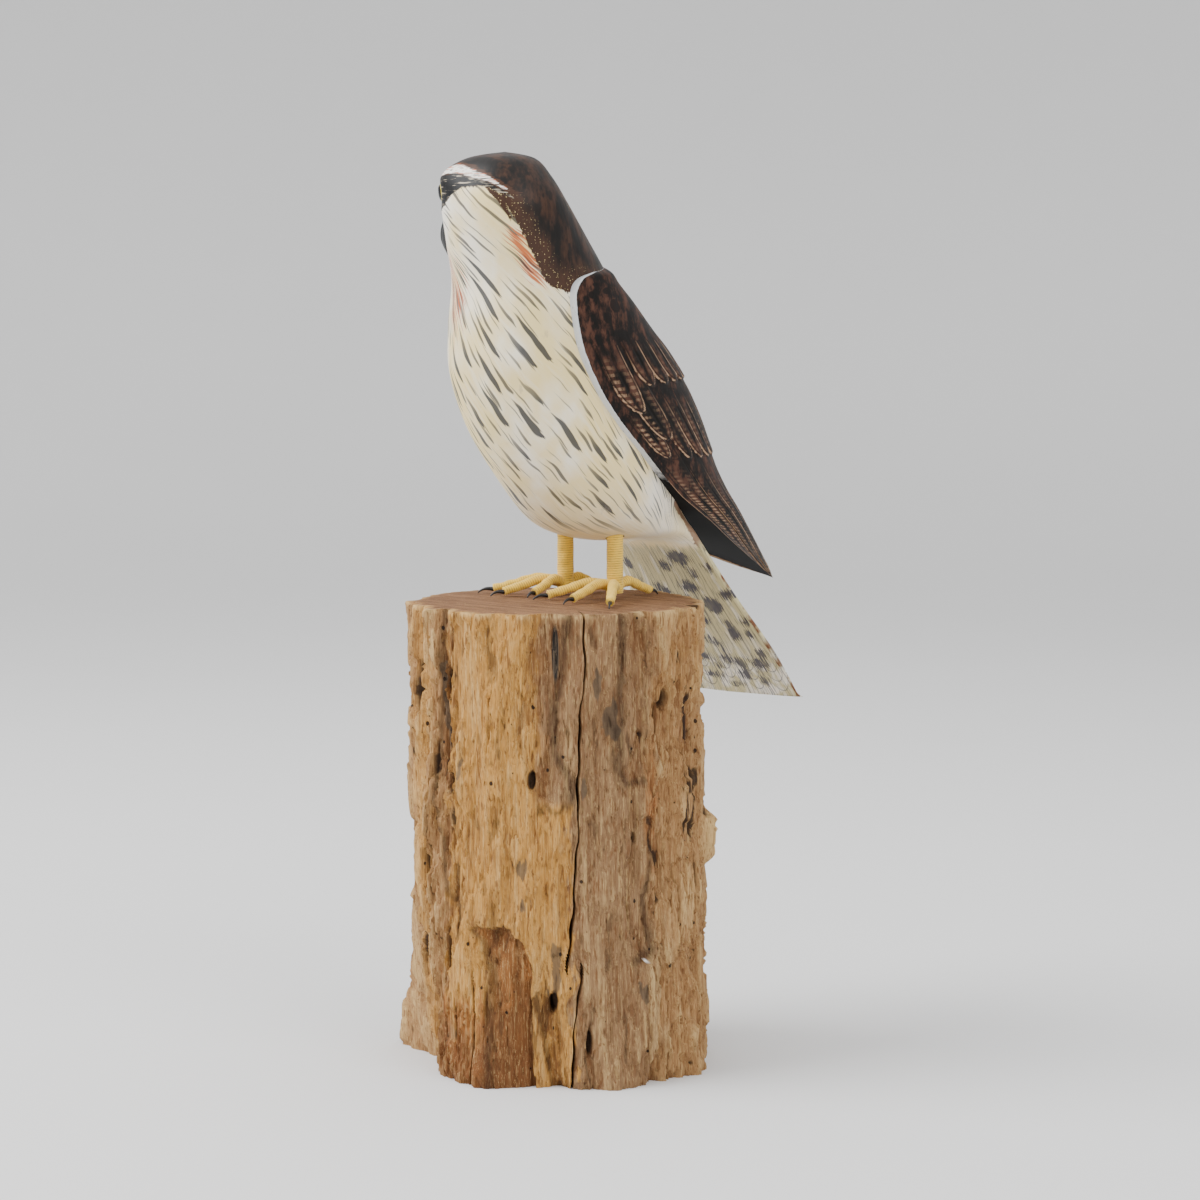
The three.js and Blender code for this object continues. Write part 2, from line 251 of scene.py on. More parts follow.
# Places on the log are an angle in degrees and a height. Hollows worn into it: angle, height, half
# width, half height, depth.
LOG_HOLLOWS = [
    [356, 177, 2.2, 13, 8],
    [1, 188, 4, 6, 8],
    [263, 147, 3.6, 6.5, 6],
    [301, 151, 2.8, 5.5, 5],
    [260.5, 196, 2.6, 11, 5],
    [253, 157, 2, 12, 5],
    [261.5, 65, 2.2, 13, 7],
    [247, 118, 2, 30, 4],
    [310.2, 42, 2.8, 6, 7],
    [324.2, 23, 1.6, 7, 5],
    [268, 30, 2.2, 16, 3],
    [240, 190, 4, 20, 4],
    [240, 60, 3, 26, 5],
    [229, 22, 5, 14, 5],
    [22, 100, 3, 24, 4],
    [15, 150, 1.6, 14, 4],
    [343, 122, 1.3, 2.6, 3],
    [80, 120, 8, 40, 4],
    [150, 150, 9, 30, 4],
    [200, 90, 5, 36, 5],
]
SPLINTER = [36, 113, 5, 17, 7]

# Recesses with one hard edge: its angle at heights, which side of it lies deeper (1 for rising angles),
# how far the recess reaches, bottom and top height, depth
LOG_RECESSES = [
    [[[0, 302.5], [40, 302], [60, 301.5], [71, 299], [76, 294]], -1, 26, -9, 78, 4.5],
    [[[0, 316.5], [20, 314.5], [40, 310.8], [48, 309.5]], -1, 11, -9, 47, 3],
    [[[0, 327], [18, 325.5]], -1, 5, -9, 20, 2.2],
    [[[140, 303], [151, 302], [165, 296], [174, 294.5], [228, 301.3]], 1, 22, 138, 260, 1.8],
    [[[150, 349], [190, 350], [232, 352]], -1, 20, 150, 260, 1.4],
    [[[60, 341], [90, 338], [130, 343]], 1, 14, 62, 132, 1.8],
    [[[95, 268], [140, 262], [232, 266]], -1, 12, 92, 260, 2.2],
]

# Drying cracks: angle at heights, depth, half width
MAIN_CRACK = [[94, 318.1], [123, 319.7], [165, 320.1], [188, 320.8], [203, 322.2]]
LOG_CRACKS = [
    [[[55, 314.9], [71, 316.8], *MAIN_CRACK, [240, 322.5]], 14, 0.85],
    [[[-9, 316.8], [24, 318], [44, 319.6], [63, 321.4]], 14, 0.85],
    [[[61, 5], [104, 3.5]], 5, 0.6],
    [[[-9, 356.6], [24, 358.2]], 6, 0.9],
    [[[70, 255], [120, 250], [150, 252]], 5, 0.9],
    [[[-9, 276], [30, 277.5], [55, 276]], 4, 0.8],
]
# Line that the log's closest columns follow
CRACK_LINE = [
    [0, 316.8], [24, 318], [44, 319.6], [56, 320.6], [68, 316.8], *MAIN_CRACK, [232, 322.5],
]
# Columns of the log: how far beside the crack they lie, and at what share of the way round
COLUMN_PLACES = [-math.pi * LOG_RADIUS, -90, -3, -0.9, 0, 0.9, 3, 90, math.pi * LOG_RADIUS]
COLUMN_SHARES = [0, 0.13, 0.478, 0.491, 0.5, 0.509, 0.522, 0.87, 1]

# Marks on the log: angle, height, half width, half height
CHARRED_MARK = [310.9, 213, 2.2, 16]
GREY_MARKS = [
    [311.5, 57, 3.4, 17],
    [297.5, 107, 3, 7],
    [298, 92, 3.2, 8],
    [258, 186, 3.5, 22],
    [334, 182, 4, 11],
    [346, 44, 4, 9],
    [327, 196, 2.5, 9],
    [268, 150, 2.5, 8],
    [322, 150, 2, 8],
]
WHITE_FLECK = [347.5, 61.5, 1.0, 1.0]

# Backdrop: distance from the middle and height of its profile, in metres
BACKDROP = [(0.001, 0), (0.6, 0), (1.5, 0), (2.4, 0), (2.9, 0.12), (3.2, 0.5), (3.3, 1.2), (3.3, 2.6)]
BACKDROP_SIDES = 64
WORLD_STRENGTH = 1.4

# Lights and camera, in metres and degrees
LIGHT_AIM = (0, 0, 0.22)
KEY_PLACE = (-1.3, -1.6, 2.3)
KEY_SIZE = 2.2
FILL_PLACE = (2.2, -0.4, 1.7)
FILL_SIZE = 1.8
CAMERA_PLACE = (1.0831, -1.2557, 0.4004)
CAMERA_DOWN = 5.8
CAMERA_TURN = 40
CAMERA_LENS = 100
CAMERA_SENSOR = 36

# Places of the bird's paints in their list
BREAST_PAINT, WING_PAINT, BILL_PAINT, SOCKET_PAINT, UNDERSIDE_PAINT = range(5)


def srgb(code):
    """A colour given as a hexadecimal screen colour, as linear values with full strength."""
    channels = [(code >> shift & 255) / 255 for shift in (16, 8, 0)]
    return [c / 12.92 if c <= 0.04045 else ((c + 0.055) / 1.055) ** 2.4 for c in channels] + [1.0]


def through(rows, share):
    """Rows of values read smoothly at shares of the way from the first row to the last."""
    rows = np.asarray(rows, float)
    scaled = np.clip(share, 0, 1) * (len(rows) - 1)
    index = np.minimum(scaled.astype(int), len(rows) - 2)
    local = (scaled - index)[:, None]
    before = rows[np.maximum(index - 1, 0)]
    start = rows[index]
    end = rows[index + 1]
    after = rows[np.minimum(index + 2, len(rows) - 1)]
    leaving = (end - before) / 2
    arriving = (after - start) / 2
    bend = (3 * (end - start) - 2 * leaving - arriving) * local**2
    return start + leaving * local + bend + (2 * (start - end) + leaving + arriving) * local**3


def power(value, squareness):
    return np.sign(value) * np.abs(value) ** (2 / squareness)


def bell(distance, reach):
    return np.exp(-((distance / reach) ** 2))


def smooth(value, low, high):
    """0 below low, 1 above high, and a soft step between."""
    share = np.clip((value - low) / (high - low), 0, 1)
    return share * share * (3 - 2 * share)


def degrees_apart(a, b):
    return (a - b + 180) % 360 - 180


def unit(vectors):
    return vectors / np.maximum(np.linalg.norm(vectors, axis=-1, keepdims=True), 1e-9)


def rough(points, octaves=4):
    """Even noise between about -1 and 1 at each point, in the points' own units."""
    return np.array([noise.fractal(point, 0.8, 2.1, octaves) for point in points.tolist()])


def skin(name, columns, rows, place):
    """A closed skin: a rolled grid whose every point goes where place(turn, share) says, in millimetres.

    turn runs from 0 to 2 pi round the form, and share from 0 at its first end to 1 at its last. Each
    end closes in one point.
    """
    shape = bmesh.new()
    bmesh.ops.create_grid(shape, x_segments=columns, y_segments=rows, size=1.0)
    shape.verts.ensure_lookup_table()
    row_starts = [shape.verts[row * (columns + 1)] for row in range(rows + 1)]
    joined = {}
    for row in range(1, rows):
        joined[shape.verts[row * (columns + 1) + columns]] = row_starts[row]
    for column in range(1, columns + 1):
        joined[shape.verts[column]] = row_starts[0]
        joined[shape.verts[rows * (columns + 1) + column]] = row_starts[rows]
    bmesh.ops.weld_verts(shape, targetmap=joined)
    mesh = bpy.data.meshes.new(name)
    shape.to_mesh(mesh)
    shape.free()
    flat = points_of(mesh)
    turn = np.rint((flat[:, 0] + 1) / 2 * columns) / columns * 2 * math.pi
    share = np.rint((flat[:, 1] + 1) / 2 * rows) / rows
    move_points(mesh, place(turn, share))
    turn_outwards(mesh)
    return mesh, turn, share


def points_of(mesh):
    values = np.empty(len(mesh.vertices) * 3, np.float32)
    mesh.vertices.foreach_get("co", values)
    return values.reshape(-1, 3).astype(float)


def move_points(mesh, points):
    mesh.vertices.foreach_set("co", (points * MM).astype(np.float32).ravel())
    mesh.update()


def turn_outwards(mesh):
    shape = bmesh.new()
    shape.from_mesh(mesh)
    bmesh.ops.recalc_face_normals(shape, faces=shape.faces)
    shape.to_mesh(mesh)
    shape.free()


def keep_values(mesh, name, values):
    """Stores one number for each point, for the material to read."""
    attribute = mesh.attributes.get(name) or mesh.attributes.new(name, "FLOAT", "POINT")
    attribute.data.foreach_set("value", np.asarray(values, np.float32))


def add_object(name, mesh):
    piece = bpy.data.objects.new(name, mesh)
    bpy.context.scene.collection.objects.link(piece)
    return piece


def combined(name, mesh, tools, operation="UNION"):
    """One closed mesh of the first mesh and the others, joined or cut away."""
    piece = add_object(name, mesh)
    cutters = [add_object("tool", tool) for tool in tools]
    for cutter in cutters:
        modifier = piece.modifiers.new("carve", "BOOLEAN")
        modifier.operation = operation
        modifier.solver = "MANIFOLD"
        modifier.object = cutter
    depsgraph = bpy.context.evaluated_depsgraph_get()
    result = bpy.data.meshes.new_from_object(piece.evaluated_get(depsgraph))
    for used in [piece] + cutters:
        bpy.data.objects.remove(used)
    result.name = name
    return result


def finish_piece(name, mesh, node_names, sharp_angle=50):
    """Puts a finished mesh in the scene in place of its solids."""
    mesh.shade_smooth()
    mesh.set_sharp_from_angle(angle=math.radians(sharp_angle))
    piece = add_object(name, mesh)
    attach(piece, "root")
    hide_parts(*node_names)
    return piece


def paint_all(mesh, paints, index):
    """Gives the whole mesh one of the paints, and keeps the others in the same order for joining."""
    mesh.materials.clear()
    for paint in paints:
        mesh.materials.append(paint)
    mesh.polygons.foreach_set("material_index", np.full(len(mesh.polygons), index, np.int32))


# Shapes of the bird


def head_turn(points):
    """Degrees from the head's forward direction, measured so that the join lies on the dark nape."""
    offset = points - HEAD_MIDDLE
    forward = offset @ HEAD_FORWARD
    left = HEAD_FORWARD[0] * offset[:, 1] - HEAD_FORWARD[1] * offset[:, 0]
    turn = np.degrees(np.arctan2(left, forward))
    return (turn + NAPE_TURN) % 360 - NAPE_TURN


def eye_middles():
    """Middle of each eye, a little inside the head's surface."""
    middles = []
    for side in (-1, 1):
        turn = math.radians(EYE_TURN) * side
        forward = HEAD_FORWARD[:2]
        x = forward[0] * math.cos(turn) - forward[1] * math.sin(turn)
        y = forward[0] * math.sin(turn) + forward[1] * math.cos(turn)
        middles.append(HEAD_MIDDLE + np.array([EYE_OUT * x, EYE_OUT * y, EYE_HEIGHT - HEAD_MIDDLE[2]]))
    return middles


def eye_distance(points):
    """Millimetres from the nearer eye's line through the head, for points on the head's sides."""
    nearest = np.full(len(points), FAR_FROM_EYES)
    for middle in eye_middles():
        axis = unit(middle - HEAD_MIDDLE - np.array([0, 0, middle[2] - HEAD_MIDDLE[2]]))
        offset = points - middle
        depth = offset @ axis
        away = np.linalg.norm(offset - depth[:, None] * axis, axis=1)
        nearest = np.where((depth > EYE_LINE_START) & (away < nearest), away, nearest)
    return nearest


def body_place(turn, share):
    front_y, front_z, back_y, back_z, width, squareness = through(BODY_STATIONS, share).T
    across = power(np.cos(turn), squareness)
    back = power(np.sin(turn), squareness)
    points = np.stack(
        [
            BIRD_MIDDLE_X + width * across,
            (front_y + back_y) / 2 + back * (back_y - front_y) / 2,
            (front_z + back_z) / 2 + back * (back_z - front_z) / 2,
        ],
        axis=1,
    )
    outward = unit((points - HEAD_MIDDLE) * [1, 1, 0])
    swelling = np.zeros(len(points))
    for x, y, z, reach, height in HEAD_SWELLINGS:
        swelling += height * bell(np.linalg.norm(points - [x, y, z], axis=1), reach)
    points += outward * swelling[:, None]
    away = eye_distance(points)
    dome = EYE_DOME * np.sqrt(np.clip(1 - (away / EYE_RADIUS) ** 2, 0, 1))
    socket = EYE_SOCKET_DEPTH * bell(away - EYE_RADIUS - 0.7, 1.5)
    return points + outward * (dome - socket)[:, None]


def body_share(share):
    """More of the body's rows go to the head than to the smooth breast and tail."""
    return np.interp(share, [0, HEAD_ROW_SHARE, 1], [0, HEAD_SHARE, 1])


def bill_place(turn, share):
    x, y, z, half_height, half_width = through(BILL_STATIONS, share).T
    ahead = through(BILL_STATIONS, np.minimum(share + BILL_STEP, 1))
    behind = through(BILL_STATIONS, np.maximum(share - BILL_STEP, 0))
    tangent = unit(np.stack([ahead[:, 0] - behind[:, 0], ahead[:, 2] - behind[:, 2]], axis=1))
    size = np.where(share == 0, 0, 1)
    gape = bell(np.sin(turn) + 0.45, 0.09) * smooth(share, 0.15, 0.3) * smooth(1 - share, 0.12, 0.3)
    nostril = bell(np.hypot((share - 0.36) * 30, (np.sin(turn) - 0.35) * 7), 1.1)
    carved = GAPE_DEPTH * gape + NOSTRIL_DEPTH * nostril
    across = size * half_width * np.cos(turn) * (1 - carved / np.maximum(half_width, 2))
    rise = size * half_height * np.sin(turn)
    return np.stack([x - tangent[:, 1] * rise, y - across, z + tangent[:, 0] * rise], axis=1)


def wing_place(turn, share):
    width, edge_y, edge_z, ridge_y, ridge_z = through(WING_STATIONS, share).T
    rise = np.maximum(power(np.sin(turn), WING_SQUARENESS), 0)
    across = np.where(rise > 0, power(np.cos(turn), WING_SQUARENESS), np.cos(turn))
    depth = np.hypot(ridge_y - edge_y, ridge_z - edge_z)
    valley = np.where(rise > 0, WING_VALLEY_DEPTH * bell(np.cos(turn), WING_VALLEY_SPREAD), 0)
    lift = rise * (1 - valley / np.maximum(depth, 4 * WING_VALLEY_DEPTH))
    return np.stack(
        [
            BIRD_MIDDLE_X + width * across,
            edge_y + lift * (ridge_y - edge_y),
            edge_z + lift * (ridge_z - edge_z),
        ],
        axis=1,
    )


def wing_normal(turn, share):
    around = wing_place(turn + WING_STEP, share) - wing_place(turn - WING_STEP, share)
    further = wing_place(turn, np.minimum(share + WING_STEP, 1))
    return unit(np.cross(further - wing_place(turn, np.maximum(share - WING_STEP, 0)), around))


# The wing's arch measured once: how far round it each angle lies, and how long the arch is at each station
ARCH_TURNS = np.linspace(0, math.pi, 721)
ARCH_SHARES = np.linspace(0, 1, 81)


def arch_lengths():
    lengths = []
    for share in ARCH_SHARES:
        line = wing_place(ARCH_TURNS, np.full(len(ARCH_TURNS), share))
        lengths.append(np.concatenate([[0], np.cumsum(np.linalg.norm(np.diff(line, axis=0), axis=1))]))
    return np.array(lengths)


ARCH_LENGTHS = arch_lengths()
MIDDLE_ARCH = ARCH_LENGTHS[len(ARCH_SHARES) // 2]
ARCH_AROUND = MIDDLE_ARCH / MIDDLE_ARCH[-1]


def wing_turn(turn):
    """Most of the wing's columns lie evenly over its arch, and few under its flat underside."""
    column = turn / (2 * math.pi) * WING_COLUMNS
    over = np.interp(column / WING_ARCH_COLUMNS, ARCH_AROUND, ARCH_TURNS)
    under = math.pi * (1 + (column - WING_ARCH_COLUMNS) / (WING_COLUMNS - WING_ARCH_COLUMNS))
    return np.where(column <= WING_ARCH_COLUMNS, over, under)


def wing_share(share):
    return np.interp(share, [0, WING_PLAIN_ROW_SHARE, 1], [0, WING_PLAIN_SHARE, 1])


def wing_sheet(turn, share):
    """Place on the wing as laid flat, in millimetres: across from the nearer edge, along, and half arch."""
    length = np.interp(share, ARCH_SHARES, ARCH_LENGTHS[:, -1])
    around = np.interp(turn, ARCH_TURNS, ARCH_AROUND)
    return np.minimum(around, 1 - around), share * WING_LENGTH, length


def carved_feathers(turn, share):
    """Height of the carving over the plain wing, and what the paint needs to know about each feather."""
    around, along, arch = wing_sheet(turn, share)
    count = len(turn)
    relief = {
        "height": np.zeros(count),
        "edge": np.full(count, FEATHER_FAR),
        "side": np.zeros(count),
        "way": np.zeros(count),
        "tint": np.full(count, 0.5),
        "row": np.zeros(count),
    }
    left_side = turn < math.pi / 2
    number = 0
    for row, (root, tip, first, step, feathers, half, fade) in enumerate(FEATHER_ROWS):
        for index in range(feathers):
            number += 1
            middle_turn = math.radians(first + index * step)
            middle = np.interp(middle_turn, ARCH_TURNS, ARCH_AROUND)
            half_around = np.interp(math.radians(half), ARCH_TURNS, ARCH_AROUND) * 0.5
            half_around = max(half_around, half / 180 * FEATHER_LEAST_SPREAD)
            way = (share - root) / (tip - root)
            past = np.clip(2 * way - 1, 0, 1)
            width_share = np.sqrt(np.clip(1 - past**FEATHER_ROUNDNESS, 0, 1))
            width = half_around * arch * width_share
            aside = (around - middle) * arch
            narrowing = half_around * arch * FEATHER_ROUNDNESS * past ** (FEATHER_ROUNDNESS - 1)
            narrowing /= np.maximum(width_share, 0.05) * (tip - root) * WING_LENGTH
            inside = (width - np.abs(aside)) / np.sqrt(1 + narrowing**2)
            beyond = -np.hypot((way - 1) * (tip - root) * WING_LENGTH, aside)
            inside = np.where(way > 1, beyond, inside)
            shown = smooth(way, 0, fade)
            cover = smooth(inside, -0.5 * FEATHER_EDGE_SOFTNESS, 0.5 * FEATHER_EDGE_SOFTNESS) * shown
            crown = 1 - 0.55 * np.clip(np.abs(aside) / np.maximum(width, 1), 0, 1) ** 2
            top = settings().feather_height / MM * np.clip(way, 0, 1) ** 0.7 * (0.45 + 0.55 * crown)
            groove = -FEATHER_SHAFT_DEPTH * bell(aside, 0.45)
            groove = groove * smooth(way, 0.1, 0.4) * smooth(1 - way, 0.05, 0.3)
            relief["height"] = relief["height"] * (1 - cover) + (top + groove) * cover
            drawn = shown > FEATHER_SHOWN
            near = np.where(drawn, np.abs(inside), FEATHER_FAR)
            relief["edge"] = np.where((inside > 0) & drawn, near, np.minimum(relief["edge"], near))
            tint = (number * FEATHER_TINT_STEP + FEATHER_TINT_SHIFT * left_side) % 1
            values = (aside / np.maximum(width, 1), way, tint, row + 1.0)
            for name, value in zip(FEATHER_GUIDES[1:], values):
                relief[name] = np.where((inside > 0) & (way > 0) & drawn, value, relief[name])
    return relief


def settings():
    return bpy.context.scene.kestrel_bird


def wing_mesh(paints):
    relief = {}

    def place(turn, share):
        turn = wing_turn(turn)
        share = wing_share(share)
        relief.update(carved_feathers(turn, share))
        arch = turn <= math.pi
        thin = smooth(1 - share, 0.0, WING_TIP_FADE)
        height = np.where(arch, relief["height"] * thin, 0)
        return wing_place(turn, share) + wing_normal(turn, share) * height[:, None]

    mesh, turn, share = skin("wings", WING_COLUMNS, WING_ROWS, place)
    turn = wing_turn(turn)
    share = wing_share(share)
    around, along, arch = wing_sheet(turn, share)
    for name in FEATHER_GUIDES:
        keep_values(mesh, "feather_" + name, relief[name])
    keep_values(mesh, "wing_across", around * arch)
    keep_values(mesh, "wing_along", along)
    paint_all(mesh, paints, WING_PAINT)
    beneath = turn > math.pi + 1e-6
    for polygon in mesh.polygons:
        if any(beneath[index] for index in polygon.vertices):
            polygon.material_index = UNDERSIDE_PAINT
    return mesh


def torso_mesh(paints):
    def place(turn, share):
        return body_place(turn, body_share(share))

    mesh, _, _ = skin("torso", BODY_COLUMNS, BODY_ROWS, place)
    paint_all(mesh, paints, BREAST_PAINT)
    return mesh


def bill_mesh(paints):
    mesh, _, share = skin("bill", BILL_COLUMNS, BILL_ROWS, bill_place)
    keep_values(mesh, "bill_way", share)
    paint_all(mesh, paints, BILL_PAINT)
    return mesh


def socket_cutter(ankle, paints):
    """A round hole bored into the belly for a leg."""
    shape = bmesh.new()
    depth = SOCKET_TOP_Z - SOCKET_BOTTOM_Z
    radius = SOCKET_RADIUS * MM
    bmesh.ops.create_cone(
        shape, cap_ends=True, segments=SOCKET_SIDES, radius1=radius, radius2=radius, depth=depth * MM
    )
    bmesh.ops.translate(shape, verts=shape.verts, vec=Vector((*ankle, SOCKET_BOTTOM_Z + depth / 2)) * MM)
    mesh = bpy.data.meshes.new("socket")
    shape.to_mesh(mesh)
    shape.free()
    paint_all(mesh, paints, SOCKET_PAINT)
    return mesh


# Where the paint changes on the bird, worked out for every point of its surface

# Limits of the cream throat in degrees from the head's forward direction, at heights down the neck, and
# the dark moustache that runs down inside them
CAPE_LEFT = [
    [380, 196], [386.3, 194], [388.7, 180], [396, 172], [402, 166.5], [410, 158],
    [416.3, 151], [421.5, 145.5], [424, 142], [428, 138], [431.5, 134], [435, 129], [446, 84],
]
CAPE_RIGHT = [
    [380, 4], [388.7, -2], [396, -26], [402, -48], [410, -80], [416.3, -106],
    [421.5, -122], [428, -128], [435, -124], [446, -84],
]
MOUSTACHE = [
    [419, 142.5, 0], [421, 142, 1.2], [424, 139, 2], [427.5, 135.5, 3],
    [430, 133, 4], [434, 124.5, 4], [437, 118, 3],
]
MOUSTACHE_RIGHT_SHIFT = 15
CAPE_BOTTOM_Z = 385.5
NECK_MM_A_DEGREE = 33 * math.pi / 180

# The pale brow and the dark patch behind the eye: degrees from forward, then bottom and top
BROW = [
    [0, 437.5, 441], [50, 441.2, 445.2], [63, 442, 446.8], [78, 442.6, 446.4],
    [97, 440.6, 444.4], [120, 438.4, 440.9], [135, 434.8, 436.4], [150, 433, 431],
]
EYE_PATCH = [
    [36, 426, 441], [50, 424.5, 441.2], [66, 427, 442.3], [75, 430.6, 442.7], [82, 433.4, 442],
    [90, 435.2, 441], [109, 436.6, 439.3], [120, 435.8, 438.2], [138, 431.8, 433.6], [150, 430, 428],
]

# The strokes of the breast spread from the gape and bend into the line of the body
STREAM_AXIS_POINT = np.array([-12, -42, 428])
STREAM_AXIS = unit(np.array([0.176, 0.5, -0.846]))
STREAM_SOURCE = np.array([-27, -50, 426])
STREAM_REACH = 38
STREAM_SPREAD = 24
STREAM_FAN = 26
STREAM_FAN_REACH = 42

# Worn edge between wing and tail, beside the bird's middle
SCUFF_LINE = np.array(
    [[31, 53.5, 280], [27.8, 61, 275], [28.2, 64, 271], [29.3, 67, 266.5], [30, 75, 258], [31, 81, 250]]
)
SCUFF_WIDTH = 3.0

# Rusty places of the throat: middle, reach each way, strength
RUST_SPOTS = [
    [[-9, -60, 379], [7, 9, 17], 0.7],
    [[-18, -57, 396], [6, 8, 12], 0.6],
]

# The tail's middle line starts at y and z, ends at y and z, and its half width changes down the way
TAIL_START = np.array([70.0, 259])
TAIL_END = np.array([137.0, 173])
TAIL_WIDTHS = [[-20, 33], [0, 31], [30, 33], [75, 41], [108, 46]]
TAIL_END_LINES = [92.0, 98.5, 105.0]

# Blotches of the tail: across from its middle and down it, half width and half length
TAIL_BLOTS = [
    [13, 13.5, 6.4, 4.8], [1, 19.8, 2.8, 4.1], [28.3, 20.7, 2.5, 2.4], [-24.7, 21, 2.5, 3.1],
    [17, 24.7, 2.5, 2.8], [6, 33, 2.8, 2.1], [-25.3, 33.5, 3.5, 2.1], [10, 33.8, 6, 3.8],
    [-11, 35.8, 3.5, 2.8], [-7.3, 38.4, 2.8, 2.8], [31.5, 39, 3.9, 3.1], [5.7, 43.5, 2.1, 2.1],
    [20, 46.6, 5.3, 5.2], [34.4, 57.5, 3.2, 2.1], [4.6, 58, 5.7, 2.8], [23.5, 58.5, 2.1, 2.8],
    [34, 65.5, 2.1, 2.8], [24.5, 66, 3.9, 4.8], [-7.7, 70.6, 2.1, 2.1], [7.4, 72, 3.9, 2.4],
    [11, 75, 1.8, 2.1], [35.6, 79.5, 3.2, 2.8], [-10.6, 83.5, 1.6, 3.4], [-5, 84.3, 3.5, 2.4],
    [11, 85, 3.5, 2.8], [32, 86.3, 5.7, 3.4], [19.3, 87.5, 3.5, 4.1], [4, 90, 2.8, 1.7],
    [19.3, 95.6, 3.5, 2.8], [-2.6, 97.3, 4.3, 2.1], [29.4, 98.7, 2.8, 2.1], [10.3, 103, 2.8, 1.6],
    [-21, 49, 4.5, 3.2], [-33, 55, 3.4, 3], [-22, 63, 3, 3.2], [-34, 72, 4.2, 3], [-23, 79, 4, 3],
    [-35, 88, 3.5, 3.6], [-20, 93, 4, 2.6], [-31, 101, 3.6, 2.2],
]


def line_distance(points, line):
    """Millimetres from each point to a line of joined straight parts, measured beside the bird's middle."""
    offset = points - [BIRD_MIDDLE_X, 0, 0]
    nearest = np.full(len(points), 1e9)
    for start, end in zip(line, line[1:]):
        way = end - start
        share = np.clip((offset - start) @ way / (way @ way), 0, 1)
        nearest = np.minimum(nearest, np.linalg.norm(offset - start - share[:, None] * way, axis=1))
    return nearest


def stream_place(points):
    """Millimetres round the body's own axis from the bill's side, and along the axis."""
    offset = points - STREAM_AXIS_POINT
    along = offset @ STREAM_AXIS
    front = np.array([-1.0, 0, 0])
    front = unit(front - (front @ STREAM_AXIS) * STREAM_AXIS)
    across = np.cross(STREAM_AXIS, front)
    turn = np.arctan2(offset @ across, offset @ front)
    return turn * STREAM_REACH, along


def band(value, table):
    """How far inside a band each point lies: the smaller of its distances from bottom and top."""
    places, bottom, top = np.array(table, float).T
    low = np.interp(value[0], places, bottom)
    high = np.interp(value[0], places, top)
    outside = np.maximum(places[0] - value[0], value[0] - places[-1]) * 0.5
    return np.minimum(np.minimum(value[1] - low, high - value[1]), -np.maximum(outside, -9))


def read(table, places):
    """Values of a table's second column at places along its first."""
    return np.interp(places, *np.transpose(table))


def face_guides(points):
    """How far inside the cream throat, the moustache, the brow and the eye patch each point lies."""
    turn = head_turn(points)
    height = points[:, 2]
    aside = np.abs(turn)
    left = (read(CAPE_LEFT, height) - turn) * NECK_MM_A_DEGREE
    right = (turn - read(CAPE_RIGHT, height)) * NECK_MM_A_DEGREE
    top = 436 + 5 * bell(turn, 50) - height
    cream = np.minimum(np.minimum(left, right), top)
    shifted = np.where(turn < 0, aside + MOUSTACHE_RIGHT_SHIFT, aside)
    heights, middle, half = np.transpose(MOUSTACHE)
    moustache = np.interp(height, heights, half) - np.abs(np.interp(height, heights, middle) - shifted)
    within = np.minimum(height - heights[0], heights[-1] - height)
    neck = smooth(height, 385, 392) * smooth(-height, -421, -411)
    rust = bell(left - 4.5, 5.5) * neck + bell(right - 4.5, 5.5) * neck
    for middle, reach, strength in RUST_SPOTS:
        rust = rust + strength * bell(np.linalg.norm((points - middle) / reach, axis=1), 1)
    return {
        "cream": np.maximum(cream, CAPE_BOTTOM_Z - height),
        "moustache": np.minimum(moustache * NECK_MM_A_DEGREE, within),
        "brow": band((aside, height), BROW),
        "eye_patch": band((aside, height), EYE_PATCH),
        "eye": eye_distance(points),
        "rust": np.clip(rust, 0, 1),
    }


def stream_guides(points):
    """Way down the breast's strokes from their source, and place across them."""
    around, along = stream_place(points)
    start_around, start_along = stream_place(STREAM_SOURCE[None, :])
    around = around - start_around
    along = along - start_along
    way = np.hypot(around, along)
    spread = STREAM_SPREAD + STREAM_FAN * bell(way, STREAM_FAN_REACH)
    return {"stream_across": spread * np.arctan2(around, along) + around, "stream_way": way}


def tail_guides(points):
    """Way down the tail, place across it, how far inside a blotch and how near a worn edge points lie."""
    way = (points[:, 1:] - TAIL_START) @ unit(TAIL_END - TAIL_START)
    aside = points[:, 0] - BIRD_MIDDLE_X
    blotch = np.full(len(points), -5.0)
    for middle, down, half_width, half_length in TAIL_BLOTS:
        outside = np.hypot((aside - middle) / half_width, (way - down) / half_length)
        blotch = np.maximum(blotch, (1 - outside) * half_length)
    scuffs = [bell(line_distance(points, SCUFF_LINE * [side, 1, 1]), SCUFF_WIDTH) for side in (-1, 1)]
    return {
        "scuff": np.max(scuffs, axis=0),
        "tail_way": way,
        "tail_across": aside / read(TAIL_WIDTHS, way),
        "tail_blotch": blotch,
    }


def store_paint_guides(mesh):
    points = points_of(mesh) / MM
    for guides in (face_guides, stream_guides, tail_guides):
        for name, values in guides(points).items():
            keep_values(mesh, name, values)


def kestrel_body_mesh(paints):
    mesh = combined("kestrel_body", torso_mesh(paints), [wing_mesh(paints), bill_mesh(paints)])
    cutters = [socket_cutter(leg["ankle"], paints) for leg in LEGS.values()]
    mesh = combined("kestrel_body", mesh, cutters, "DIFFERENCE")
    store_paint_guides(mesh)
    return mesh


# Shapes of the legs


